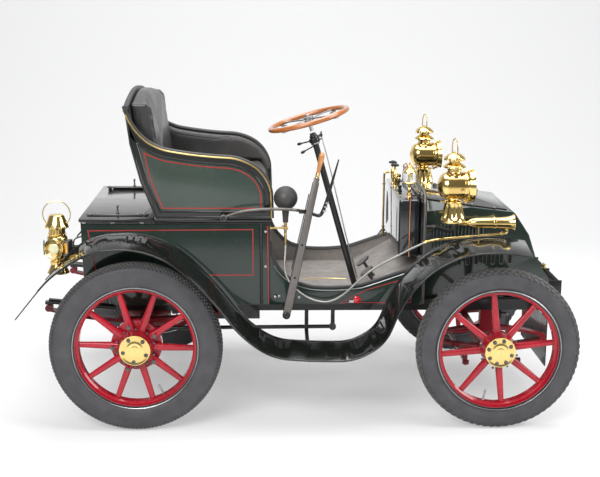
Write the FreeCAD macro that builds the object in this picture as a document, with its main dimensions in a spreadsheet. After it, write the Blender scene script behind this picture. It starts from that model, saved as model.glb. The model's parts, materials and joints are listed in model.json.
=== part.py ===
import FreeCAD, Part
import Sketcher
import math
import os
from types import SimpleNamespace

# A brass era runabout, built in millimetres.
# +X points forward, +Y to the car's left and +Z up. The ground is at Z = 0 and
# the origin lies on it, under the middle of the car's length and width.

driving_sizes = {
    # Stance
    "wheelbase": 1594.0,
    "track": 1120.0,
    "tail_overhang": 516.0,
    "rear_tyre_radius": 380.0,
    "rear_tyre_width": 105.0,
    "front_tyre_radius": 365.0,
    "front_tyre_width": 92.0,
    # Wheels
    "rim_radius": 275.0,
    "rim_width": 78.0,
    "rim_flange": 6.0,
    "rim_depth": 13.0,
    "felloe_depth": 13.0,
    "felloe_width": 50.0,
    "hub_barrel_radius": 42.0,
    "hub_flange_radius": 78.0,
    "hub_inboard": 50.0,
    "hub_outboard": 60.0,
    "spoke_seat": 34.0,
    "spoke_root_width": 34.0,
    "spoke_root_depth": 30.0,
    "spoke_draft": 1.5,
    "hub_cap_radius": 68.0,
    "hub_cap_rim": 6.0,
    "hub_cap_crown": 12.0,
    "drum_radius": 112.0,
    "drum_width": 34.0,
    "running_fit": 0.08,
    "seat_gap": 0.3,
    # Running gear
    "stub_radius": 18.0,
    "kingpin_track": 910.0,
    "kingpin_radius": 11.0,
    "kingpin_boss_radius": 22.0,
    "kingpin_boss_height": 62.0,
    "yoke_plate": 12.0,
    "steering_arm": 120.0,
    "arm_width": 24.0,
    "track_rod_radius": 9.0,
    "axle_beam": 38.0,
    "axle_drop": 100.0,
    "track_rod_drop": 56.0,
    "axle_tube_radius": 32.0,
    "differential_radius": 112.0,
    "differential_width": 130.0,
    "spring_width": 44.0,
    "spring_leaf": 9.0,
    "front_spring_camber": 46.0,
    "rear_spring_camber": 50.0,
    "spring_clip": 70.0,
    "front_spring_gauge": 600.0,
    "rear_spring_gauge": 700.0,
    "front_spring_reach": 262.0,
    "rear_spring_reach": 410.0,
    "spring_eye_radius": 16.0,
    "rail_height": 50.0,
    "rail_width": 40.0,
    "rail_gauge": 600.0,
    "cross_member": 40.0,
    "tow_eye_radius": 9.0,
    "tow_eye_reach": 34.0,
    "tow_eye_plate": 14.0,
    "radius_rod_reach": 878.0,
    "radius_rod_gauge": 580.0,
    "gearbox_place": 305.0,
    "gearbox_length": 236.0,
    "gearbox_width": 188.0,
    "gearbox_drop": 106.0,
    "starter_place": 110.0,
    "starter_height": 360.0,
    "crank_throw": 240.0,
    # Body
    "body_width": 820.0,
    "body_floor": 522.0,
    "body_wall": 18.0,
    "deck_height": 920.0,
    "deck_thickness": 16.0,
    "deck_overlap": 12.0,
    "tail_lift": 133.0,
    "tail_slope": 135.0,
    "tail_overhang_of_body": 243.0,
    "seat_foot": 83.0,
    "seat_front": 586.0,
    "seat_board": 18.0,
    "dash_place": 1271.0,
    "dash_top": 1030.0,
    "dash_width": 780.0,
    "dash_thickness": 14.0,
    "dash_corner": 60.0,
    "footwell_width": 800.0,
    "toe_board_foot": 1010.0,
    "toe_board_top": 700.0,
    # Seat
    "seat_width": 850.0,
    "seat_panel": 20.0,
    "seat_back_top": 1414.0,
    "seat_crown": 1461.0,
    "seat_lean": 128.0,
    "seat_bulge": 24.0,
    "arm_height": 1178.0,
    "cushion_height": 130.0,
    "cushion_round": 35.0,
    "back_pad_depth": 70.0,
    "arm_pad_depth": 34.0,
    # Bonnet and engine
    "bonnet_rear_top": 974.0,
    "bonnet_front_top": 918.0,
    "bonnet_length": 425.0,
    "bonnet_width": 600.0,
    "bonnet_flat": 480.0,
    "bonnet_bevel": 46.0,
    "bonnet_nose_width": 480.0,
    "bonnet_wall": 5.0,
    "nose_reach": 183.0,
    "lid_margin": 60.0,
    "engine_length": 300.0,
    "engine_width": 260.0,
    "engine_height": 330.0,
    "radiator_depth": 60.0,
    "radiator_height": 100.0,
    "radiator_base": 490.0,
    "radiator_width": 470.0,
    "tank_depth": 98.0,
    "tank_height": 266.0,
    "tank_width": 600.0,
    "front_plate_width": 500.0,
    "front_plate_height": 225.0,
    "front_plate_clearance": 175.0,
    "front_plate_thickness": 6.0,
    # Wings and steps
    "wing_outer": 650.0,
    "wing_width": 200.0,
    "wing_sheet": 5.0,
    "wing_tilt": 30.0,
    "rear_wing_crest": 833.0,
    "stay_radius": 9.0,
    "stay_inset": 25.0,
    # Steering column
    "column_foot": 970.0,
    "column_foot_height": 613.0,
    "column_offset": 220.0,
    "column_tilt": 16.0,
    "column_radius": 14.0,
    "column_length": 690.0,
    "column_socket": 110.0,
    "wheel_rise": 66.0,
    "steering_rim_radius": 178.0,
    "steering_grip_radius": 12.5,
    "steering_hub_radius": 24.0,
    "steering_arm_radius": 7.0,
    # Lamps
    "lamp_spread": 940.0,
    "lamp_place": 1388.0,
    "lamp_height": 1079.0,
    "lamp_barrel_radius": 62.0,
    "lamp_length": 158.0,
    "lamp_base_drop": 162.0,
    "lamp_chimney": 146.0,
    "tail_lamp_place": 354.0,
    "tail_lamp_side": 392.0,
    "tail_lamp_height": 789.0,
    "tail_lamp_radius": 46.0,
    # Controls
    "lever_side": 486.0,
    "shift_rod_side": 466.0,
    "lever_width": 26.0,
    "lever_thickness": 10.0,
    "handle_radius": 13.0,
    "handle_length": 105.0,
    "shift_rod_radius": 8.0,
    "pedal_size": 70.0,
    "pedal_rod_radius": 7.0,
    # Horn
    "horn_place": 655.0,
    "horn_side": 402.0,
    "horn_bulb_height": 1011.0,
    "horn_bulb_radius": 53.0,
    "horn_tube_foot": 800.0,
    "trumpet_place": 1302.0,
    "trumpet_side": 421.0,
    "trumpet_height": 824.0,
    "horn_hose_radius": 5.0,
    "horn_tube_radius": 6.0,
    "horn_mouth_radius": 38.0,
    "horn_bell_length": 205.0,
}


class Size:
    """A number together with the spreadsheet formula that gives it."""

    def __init__(self, number, formula):
        self.number = float(number)
        self.formula = formula

    def __neg__(self):
        return Size(-self.number, f"(-{self.formula})")


def as_size(value):
    return value if isinstance(value, Size) else Size(value, repr(float(value)))


def joined(symbol, rule):
    def combine(left, right):
        left, right = as_size(left), as_size(right)
        return Size(rule(left.number, right.number), f"({left.formula} {symbol} {right.formula})")
    return combine


for method, symbol, rule in (
    ("add", "+", lambda a, b: a + b),
    ("sub", "-", lambda a, b: a - b),
    ("mul", "*", lambda a, b: a * b),
    ("truediv", "/", lambda a, b: a / b),
):
    combine = joined(symbol, rule)
    setattr(Size, f"__{method}__", combine)
    setattr(Size, f"__r{method}__", lambda self, other, combine=combine: combine(other, self))


def plain(value):
    return value.number if isinstance(value, Size) else float(value)


def vector(x, y, z):
    return FreeCAD.Vector(plain(x), plain(y), plain(z))


doc = FreeCAD.newDocument("BrassEraCar")
sheet = doc.addObject("Spreadsheet::Sheet", "Sizes")
for row, (name, number) in enumerate(driving_sizes.items(), start=1):
    sheet.set(f"A{row}", name)
    sheet.set(f"B{row}", str(number))
    sheet.setAlias(f"B{row}", name)
doc.recompute()
S = SimpleNamespace(**{name: Size(number, f"Sizes.{name}") for name, number in driving_sizes.items()})

# Stations along the car
length = S.tail_overhang + S.wheelbase + S.front_tyre_radius
rear_axle = S.tail_overhang - length / 2
front_axle = rear_axle + S.wheelbase


def station(distance):
    """X of a place that lies this far ahead of the rear axle."""
    return rear_axle + distance


X_AXIS, Y_AXIS, Z_AXIS = FreeCAD.Vector(1, 0, 0), FreeCAD.Vector(0, 1, 0), FreeCAD.Vector(0, 0, 1)
NO_TURN = FreeCAD.Rotation()
TO_LEFT = FreeCAD.Rotation(X_AXIS, -90)
TO_RIGHT = FreeCAD.Rotation(X_AXIS, 90)
TO_FRONT = FreeCAD.Rotation(Y_AXIS, 90)
nodes = []


def node(obj, label):
    """Give a finished piece its own name and list it for export."""
    obj.Label = label
    nodes.append((label, obj))
    return obj


def place(obj, x, y, z, rotation=NO_TURN):
    obj.Placement = FreeCAD.Placement(vector(x, y, z), rotation)
    for axis, value in zip("xyz", (x, y, z)):
        if isinstance(value, Size):
            obj.setExpression(f"Placement.Base.{axis}", value.formula)
    return obj


def bind(obj, **sizes):
    for prop, value in sizes.items():
        if isinstance(value, Size):
            obj.setExpression(prop, value.formula)
        else:
            setattr(obj, prop, value)
    return obj


# Solids from primitives

def block(x, y, z, dx, dy, dz):
    """A box from its lowest corner and its three edges."""
    return place(bind(doc.addObject("Part::Box", "block"), Length=dx, Width=dy, Height=dz), x, y, z)


def cylinder(x, y, z, radius, height, rotation=NO_TURN):
    return place(bind(doc.addObject("Part::Cylinder", "cylinder"), Radius=radius, Height=height),
                 x, y, z, rotation)


def ball(x, y, z, radius):
    return place(bind(doc.addObject("Part::Sphere", "ball"), Radius=radius), x, y, z)


def ring(x, y, z, radius, thickness, rotation=NO_TURN):
    return place(bind(doc.addObject("Part::Torus", "ring"), Radius1=radius, Radius2=thickness),
                 x, y, z, rotation)


def rod(start, end, radius):
    """A round bar between two points."""
    a, b = vector(*start), vector(*end)
    bar = doc.addObject("Part::Cylinder", "rod")
    bind(bar, Radius=radius)
    bar.Height = (b - a).Length
    return place(bar, *start, FreeCAD.Rotation(Z_AXIS, b - a))


def fuse(*parts):
    joint = doc.addObject("Part::MultiFuse", "fuse")
    joint.Shapes = list(parts)
    joint.Refine = True
    return joint


def cut(base, *tools):
    result = doc.addObject("Part::Cut", "cut")
    result.Base = base
    result.Tool = tools[0] if len(tools) == 1 else fuse(*tools)
    return result


def common(*parts):
    result = doc.addObject("Part::MultiCommon", "common")
    result.Shapes = list(parts)
    return result


# Solids from sketches

ROUTE_SHARE = 0.45

def origin_plane(body, role):
    return next(plane for plane in body.Origin.OriginFeatures if plane.Role == role)


def left_handed_arc(start, middle, end):
    """An arc through three points that runs anticlockwise, as a sketch keeps it."""
    turn = (middle - start).cross(end - middle).z
    return Part.Arc(start, middle, end) if turn > 0 else Part.Arc(end, middle, start)


def sketch_on(body, role, points, shift=0.0):
    """A closed outline. A third number rounds a corner; 'via' bends an edge through a point."""
    sketch = body.newObject("Sketcher::SketchObject", "outline")
    sketch.AttachmentSupport = [(origin_plane(body, role), "")]
    sketch.MapMode = "FlatFace"
    sketch.AttachmentOffset = FreeCAD.Placement(vector(0, 0, shift), NO_TURN)
    if isinstance(shift, Size):
        sketch.setExpression("AttachmentOffset.Base.z", shift.formula)
    corners, vias = [], {}
    for point in points:
        if point[0] == "via":
            vias[len(corners) - 1] = point[1:]
        else:
            corners.append(point)
    count = len(corners)
    flat = [vector(p[0], p[1], 0) for p in corners]
    into, out_of, arcs = {}, {}, {}
    for i, corner in enumerate(corners):
        into[i] = out_of[i] = flat[i]
        if len(corner) > 2:
            back = (flat[i - 1] - flat[i]).normalize()
            ahead = (flat[(i + 1) % count] - flat[i]).normalize()
            half = back.getAngle(ahead) / 2
            run = plain(corner[2]) / math.tan(half)
            into[i], out_of[i] = flat[i] + back * run, flat[i] + ahead * run
            bisector = (back + ahead).normalize()
            depth = plain(corner[2]) / math.sin(half) - plain(corner[2])
            arcs[i] = flat[i] + bisector * depth
    edges = []
    for i in range(count):
        start, end = out_of[i], into[(i + 1) % count]
        if i in vias:
            edges.append(left_handed_arc(start, vector(*vias[i], 0), end))
        else:
            edges.append(Part.LineSegment(start, end))
    rounds = {}
    for i, middle in arcs.items():
        rounds[i] = len(edges)
        edges.append(left_handed_arc(into[i], middle, out_of[i]))
    sketch.addGeometry(edges, False)

    def end_at(index, place_on_edge):
        near = (sketch.Geometry[index].StartPoint - place_on_edge).Length < 1e-6
        return 1 if near else 2

    rules = []
    pinned = []
    for i, corner in enumerate(corners):
        before = (i - 1) % count
        if i in rounds:
            arc = rounds[i]
            rules.append(Sketcher.Constraint("Tangent", before, end_at(before, into[i]),
                                             arc, end_at(arc, into[i])))
            rules.append(Sketcher.Constraint("Tangent", arc, end_at(arc, out_of[i]),
                                             i, end_at(i, out_of[i])))
            point = sketch.addGeometry(Part.Point(flat[i]), True)
            rules.append(Sketcher.Constraint("PointOnObject", point, 1, before))
            rules.append(Sketcher.Constraint("PointOnObject", point, 1, i))
            pinned.append((point, 1, corner))
        else:
            rules.append(Sketcher.Constraint("Coincident", before, end_at(before, flat[i]),
                                             i, end_at(i, flat[i])))
            pinned.append((i, end_at(i, flat[i]), corner))
    for i, via in vias.items():
        point = sketch.addGeometry(Part.Point(vector(*via, 0)), True)
        rules.append(Sketcher.Constraint("PointOnObject", point, 1, i))
        pinned.append((point, 1, via))
    sketch.addConstraint(rules)
    for i, arc in rounds.items():
        held = sketch.addConstraint(Sketcher.Constraint("Radius", arc, plain(corners[i][2])))
        if isinstance(corners[i][2], Size):
            sketch.setExpression(f"Constraints[{held}]", corners[i][2].formula)
    for geometry, end, target in pinned:
        for kind, value in zip(("DistanceX", "DistanceY"), target[:2]):
            held = sketch.addConstraint(Sketcher.Constraint(kind, -1, 1, geometry, end, plain(value)))
            if isinstance(value, Size):
                sketch.setExpression(f"Constraints[{held}]", value.formula)
    return sketch


def new_body():
    return doc.addObject("PartDesign::Body", "body")


def pad(body, role, points, depth, shift=0.0):
    feature = body.newObject("PartDesign::Pad", "pad")
    feature.Profile = sketch_on(body, role, points, shift)
    bind(feature, Length=depth)
    return feature


def pocket(body, role, points, depth, shift=0.0):
    feature = body.newObject("PartDesign::Pocket", "pocket")
    feature.Profile = sketch_on(body, role, points, shift)
    feature.Reversed = True
    bind(feature, Length=depth)
    return feature


def revolve(body, profile):
    """A turned shape: radius and height pairs about the body's own Z axis."""
    feature = body.newObject("PartDesign::Revolution", "turning")
    sketch = sketch_on(body, "XZ_Plane", profile)
    feature.Profile = sketch
    feature.ReferenceAxis = (sketch, ["V_Axis"])
    feature.Angle = 360.0
    return feature


def turned(x, y, z, profile, rotation=NO_TURN):
    body = new_body()
    revolve(body, profile)
    return place(body, x, y, z, rotation)


def bent_bar(points, radius, bend):
    """A round bar along straight runs joined by tangent arcs."""
    route = doc.addObject("Part::Feature", "route")
    route.Shape = routed_wire([vector(*p) for p in points], plain(bend))
    section = doc.addObject("Part::Feature", "section")
    first = route.Shape.Edges[0]
    start, ahead = first.valueAt(first.FirstParameter), first.tangentAt(first.FirstParameter)
    section.Shape = Part.Wire(Part.makeCircle(plain(radius), start, ahead))
    sweep = doc.addObject("Part::Sweep", "bar")
    sweep.Sections = [section]
    sweep.Spine = (route, [f"Edge{i + 1}" for i in range(len(route.Shape.Edges))])
    sweep.Solid = True
    return sweep


def routed_wire(points, bend):
    """Straight runs with an arc at each corner, as large as asked or as the runs allow."""
    edges, here = [], points[0]
    for i in range(1, len(points) - 1):
        back, ahead = points[i - 1] - points[i], points[i + 1] - points[i]
        half = back.getAngle(ahead) / 2
        radius = min(bend, ROUTE_SHARE * min(back.Length, ahead.Length) * math.tan(half))
        back.normalize(), ahead.normalize()
        run = radius / math.tan(half)
        start, end = points[i] + back * run, points[i] + ahead * run
        bisector = (back + ahead).normalize()
        middle = points[i] + bisector * (radius / math.sin(half) - radius)
        edges.append(Part.LineSegment(here, start).toShape())
        edges.append(Part.Arc(start, middle, end).toShape())
        here = end
    edges.append(Part.LineSegment(here, points[-1]).toShape())
    return Part.Wire(edges)


# Wheels and tyres

SPOKE_ROOT_SHARE = 0.8
SPOKE_ROUND_SHARE = 0.42
SHOULDER_SHARE = 0.13
TREAD_SHARE = 0.72
DOME_SHARE = 0.55


def wheel(label, x, radius, side, spokes, phase, drum):
    """A wooden wheel: hub, spokes, felloe and steel rim, with its brake drum if it has one."""
    turn = (TO_LEFT if side > 0 else TO_RIGHT).multiply(FreeCAD.Rotation(Z_AXIS, -side * phase))
    bore = S.stub_radius + S.running_fit
    seat = S.spoke_seat / 2
    profile = [(bore, -S.hub_inboard), (S.hub_barrel_radius, -S.hub_inboard)]
    if drum:
        skin = S.rim_flange
        profile += [(S.hub_barrel_radius, -(seat + skin + skin)),
                    (S.drum_radius - skin, -(seat + skin + skin)),
                    (S.drum_radius - skin, -(seat + S.drum_width)),
                    (S.drum_radius, -(seat + S.drum_width)), (S.drum_radius, -seat)]
    else:
        profile += [(S.hub_barrel_radius, -seat)]
    profile += [(S.hub_flange_radius, -seat), (S.hub_flange_radius, seat),
                (S.hub_cap_radius, S.hub_outboard), (bore, S.hub_outboard)]
    body = new_body()
    revolve(body, profile)
    wide, deep, inner = S.spoke_root_width / 2, S.spoke_root_depth / 2, S.hub_flange_radius * SPOKE_ROOT_SHARE
    corner = S.spoke_root_depth * SPOKE_ROUND_SHARE
    felloe_inner = S.rim_radius - S.rim_depth - S.felloe_depth
    spoke = pad(body, "YZ_Plane", [(-wide, -deep, corner), (wide, -deep, corner), (wide, deep, corner),
                                   (-wide, deep, corner)],
                felloe_inner + S.felloe_depth / 2 - inner, inner)
    bind(spoke, TaperAngle=-S.spoke_draft)
    doc.recompute()
    array = body.newObject("PartDesign::PolarPattern", "spokes")
    array.Originals = [spoke]
    array.Axis = (next(f for f in body.Origin.OriginFeatures if f.Role == "Z_Axis"), [""])
    array.Angle = 360.0
    array.Occurrences = spokes
    body.Tip = array
    doc.recompute()
    outer, half, lip = S.rim_radius, S.rim_width / 2, S.rim_flange
    base = outer - S.rim_depth + lip
    felloe = S.felloe_width / 2
    revolve(body, [
        (felloe_inner, -felloe + lip), (felloe_inner + lip, -felloe), (outer - S.rim_depth, -felloe),
        (outer - S.rim_depth, -half), (outer, -half), (outer, -half + lip), (base, -half + lip),
        (base, half - lip), (outer, half - lip), (outer, half), (outer - S.rim_depth, half),
        (outer - S.rim_depth, felloe), (felloe_inner + lip, felloe), (felloe_inner, felloe - lip)])
    place(body, x, side * S.track / 2, radius, turn)
    return node(body, label)


def tyre(label, x, radius, width, side):
    """A beaded-edge tyre seated between the rim's flanges."""
    half = S.rim_width / 2 - S.rim_flange - S.seat_gap
    base = S.rim_radius - S.rim_depth + S.rim_flange + S.seat_gap
    shoulder = radius - width * SHOULDER_SHARE
    neck = S.rim_radius + S.rim_flange / 2
    middle = (neck + shoulder) / 2
    tread = width * TREAD_SHARE / 2
    profile = [(base, -half), (neck, -half), ("via", middle, -width / 2), (shoulder, -tread),
               ("via", radius, 0.0), (shoulder, tread), ("via", middle, width / 2),
               (neck, half), (base, half)]
    turn = TO_LEFT if side > 0 else TO_RIGHT
    return node(turned(x, side * S.track / 2, radius, profile, turn), label)


def hub_cap(label, x, radius, side):
    """A polished brass plate over the hub, slightly domed."""
    rim, face = S.hub_cap_rim, S.hub_outboard
    crown = face + S.hub_cap_crown
    edge = S.hub_cap_radius - rim
    profile = [(0.0, face), (S.hub_cap_radius, face), (S.hub_cap_radius, face + rim / 2), (edge, face + rim),
               (edge * DOME_SHARE, crown - rim / 4), (edge * DOME_SHARE / 2, crown), (0.0, crown)]
    turn = TO_LEFT if side > 0 else TO_RIGHT
    return node(turned(x, side * S.track / 2, radius, profile, turn), label)


sides = {"right": -1, "left": 1}
rear_spokes, front_spokes = 10, 8
rear_phase, front_phase = -2.0, 6.0
for word, side in sides.items():
    wheel(f"rear_wheel_{word}", rear_axle, S.rear_tyre_radius, side, rear_spokes, rear_phase, True)
    wheel(f"front_wheel_{word}", front_axle, S.front_tyre_radius, side, front_spokes, front_phase, False)
    tyre(f"rear_tyre_{word}", rear_axle, S.rear_tyre_radius, S.rear_tyre_width, side)
    tyre(f"front_tyre_{word}", front_axle, S.front_tyre_radius, S.front_tyre_width, side)
    hub_cap(f"rear_hub_cap_{word}", rear_axle, S.rear_tyre_radius, side)
    hub_cap(f"front_hub_cap_{word}", front_axle, S.front_tyre_radius, side)

# Axles, knuckles and steering

kingpin_y = S.kingpin_track / 2
boss_half = S.kingpin_boss_height / 2
beam_half = S.axle_beam / 2
drop = S.axle_drop
beam_z = S.front_tyre_radius
DROP_SHARE = 0.9


def front_axle_beam():
    """A dropped beam with an upright eye at each end for the kingpin."""
    body = new_body()
    eye, low = kingpin_y - S.kingpin_boss_radius / 2, kingpin_y - S.kingpin_boss_radius - drop * DROP_SHARE
    under, over, bend = beam_z - drop - beam_half, beam_z - drop + beam_half, drop / 2
    pad(body, "YZ_Plane", [
        (-eye, beam_z - beam_half), (-low, under, bend), (low, under, bend), (eye, beam_z - beam_half),
        (eye, beam_z + beam_half), (low, over, bend), (-low, over, bend), (-eye, beam_z + beam_half)],
        S.axle_beam, front_axle - S.axle_beam / 2)
    eyes = [cylinder(front_axle, side * kingpin_y, beam_z - boss_half, S.kingpin_boss_radius,
                     S.kingpin_boss_height) for side in (-1, 1)]
    bores = [cylinder(front_axle, side * kingpin_y, beam_z - boss_half * 2,
                      S.kingpin_radius + S.running_fit, S.kingpin_boss_height * 2) for side in (-1, 1)]
    return node(cut(fuse(body, *eyes), *bores), "front_axle")


front_axle_beam()

arm_end = front_axle - S.steering_arm
yoke_low = beam_z - boss_half - S.seat_gap - S.yoke_plate
yoke_high = beam_z + boss_half + S.seat_gap
pin_radius = S.kingpin_radius * 0.7
rod_eye_radius = S.kingpin_boss_radius * 0.7
rod_z = yoke_low - S.track_rod_drop


def knuckle(word, side):
    """The fork that turns on the kingpin, with its stub axle and the arm that steers it."""
    y = side * kingpin_y
    reach = S.kingpin_boss_radius + S.yoke_plate
    web_in, web_out = y + side * reach, y + side * (reach + S.yoke_plate)
    web_y = web_in if side > 0 else web_out
    plate_y = y if side > 0 else web_in
    hub_in = side * (S.track / 2 - S.hub_inboard)
    wide = S.kingpin_boss_radius
    parts = [cylinder(front_axle, y, yoke_low, S.kingpin_radius, yoke_high - yoke_low + S.yoke_plate)]
    for z in (yoke_low, yoke_high):
        parts.append(cylinder(front_axle, y, z, wide, S.yoke_plate))
        parts.append(block(front_axle - wide, plate_y, z, wide * 2, reach, S.yoke_plate))
    parts.append(block(front_axle - wide, web_y, yoke_low, wide * 2, S.yoke_plate,
                       yoke_high + S.yoke_plate - yoke_low))
    turn = TO_LEFT if side > 0 else TO_RIGHT
    collar = S.track / 2 - S.hub_inboard - S.seat_gap - (kingpin_y + reach + S.yoke_plate)
    parts.append(cylinder(front_axle, web_out, beam_z, S.stub_radius + S.yoke_plate / 2, collar, turn))
    stub = S.track / 2 + S.hub_outboard - S.yoke_plate - (kingpin_y + reach)
    parts.append(cylinder(front_axle, web_in, beam_z, S.stub_radius, stub, turn))
    parts.append(block(arm_end, y - S.arm_width / 2, yoke_low, S.steering_arm, S.arm_width, S.yoke_plate))
    parts.append(cylinder(arm_end, y, yoke_low, S.arm_width / 2, S.yoke_plate))
    parts.append(cylinder(arm_end, y, rod_z - S.yoke_plate, pin_radius,
                          yoke_low - rod_z + S.yoke_plate * 2))
    return node(fuse(*parts), f"knuckle_{word}")


for word, side in sides.items():
    knuckle(word, side)


def track_rod():
    """The bar that keeps both front wheels parallel, with an eye on each steering arm's pin."""
    eye_low = rod_z - rod_eye_radius / 2
    parts = [rod((arm_end, -kingpin_y, rod_z), (arm_end, kingpin_y, rod_z), S.track_rod_radius)]
    tools = []
    for side in (-1, 1):
        parts.append(cylinder(arm_end, side * kingpin_y, eye_low, rod_eye_radius, rod_eye_radius))
        tools.append(cylinder(arm_end, side * kingpin_y, eye_low - rod_eye_radius,
                              pin_radius + S.running_fit, rod_eye_radius * 3))
    return node(cut(fuse(*parts), *tools), "track_rod")


track_rod()


radius_rod_end = (station(0.0) + S.radius_rod_reach, S.rear_tyre_radius + S.yoke_plate / 2)


def rear_axle_casing():
    """Live axle: tubes and stubs beside the differential case, with the radius rods that hold it."""
    tube, z = S.axle_tube_radius, S.rear_tyre_radius
    inner = S.track / 2 - S.hub_inboard - S.seat_gap
    case, half = S.differential_radius, S.differential_width / 2
    stub = S.track / 2 + S.hub_outboard - S.yoke_plate - S.seat_gap
    parts = [cylinder(rear_axle, -inner, z, tube, inner * 2, TO_LEFT),
             cylinder(rear_axle, -stub, z, S.stub_radius, stub * 2, TO_LEFT),
             turned(rear_axle, 0.0, z, [
                 (0.0, -half * 2), (tube * 1.4, -half * 2), (case * 0.9, -half), (case, -half * 0.5),
                 (case, half * 0.5), (case * 0.9, half), (tube * 1.4, half * 2), (0.0, half * 2)], TO_LEFT)]
    end_x, end_z = radius_rod_end
    for side in (-1, 1):
        seat_y = side * S.rear_spring_gauge / 2 - S.spring_width / 2
        parts.append(block(rear_axle - S.spring_clip / 2, seat_y, z, S.spring_clip, S.spring_width,
                           spring_seat - z))
        y = side * S.radius_rod_gauge / 2
        parts.append(rod((rear_axle, y, z), (end_x, y, end_z), S.track_rod_radius))
        parts.append(cylinder(end_x, y - S.track_rod_radius, end_z, S.spring_eye_radius,
                              S.track_rod_radius * 2, TO_LEFT))
    return node(fuse(*parts), "rear_axle")


spring_seat = S.rear_tyre_radius + S.axle_tube_radius + S.spring_leaf * 2
rear_axle_casing()


def bow(x, z, y, reach, rise, thickness):
    """One arched leaf pack in side view: its ends lie 'rise' above its middle."""
    body = new_body()
    thin = thickness / 2
    pad(body, "XZ_Plane", [
        (x - reach, z + rise - thin), ("via", x, z), (x + reach, z + rise - thin),
        (x + reach, z + rise + thin), ("via", x, z + thickness * 2), (x - reach, z + rise + thin)],
        S.spring_width, -(y + S.spring_width / 2))
    return body


leaf = S.spring_leaf
eye_r = S.spring_eye_radius
front_spring_low = beam_z - drop + beam_half
front_eye_z = front_spring_low + S.front_spring_camber + leaf
front_spring_top = front_eye_z * 2 - front_spring_low
rear_eye_z = spring_seat + S.rear_spring_camber + leaf * 2
rail_top = S.body_floor
rail_low = rail_top - S.rail_height


def springs():
    """Leaf springs: full elliptic in front, with a clamp below and above, and half elliptic behind."""
    front, rear = [], []
    for side in (-1, 1):
        y = side * S.front_spring_gauge / 2
        near, wide, clip = y - S.spring_width / 2, S.spring_width, S.spring_clip
        reach = S.front_spring_reach
        front += [bow(front_axle, front_spring_low, y, reach, S.front_spring_camber, leaf),
                  bow(front_axle, front_spring_top, y, reach, -S.front_spring_camber, -leaf),
                  block(front_axle - clip / 2, near, front_spring_low, clip, wide, leaf * 3),
                  block(front_axle - clip / 2, near, front_spring_top - leaf * 3, clip, wide,
                        rail_low - front_spring_top + leaf * 3)]
        front += [cylinder(front_axle + end * reach, near, front_eye_z, eye_r, wide, TO_LEFT)
                  for end in (-1, 1)]
        y = side * S.rear_spring_gauge / 2
        near, reach = y - S.spring_width / 2, S.rear_spring_reach
        rear.append(bow(rear_axle, spring_seat, y, reach, S.rear_spring_camber + leaf, leaf))
        rear += [cylinder(rear_axle + end * reach, near, rear_eye_z, eye_r, wide, TO_LEFT) for end in (-1, 1)]
    node(fuse(*front), "front_springs")
    node(fuse(*rear), "rear_springs")


springs()

# Frame

rail_front = front_axle + S.front_spring_reach
rail_rear = station(-S.tail_overhang_of_body + S.tail_slope)
starter_x = front_axle + S.starter_place
dash_x = station(S.dash_place)
bonnet_x = dash_x + S.dash_thickness
nose_x = bonnet_x + S.bonnet_length + S.nose_reach
radiator_x = nose_x + S.seat_gap


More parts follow.
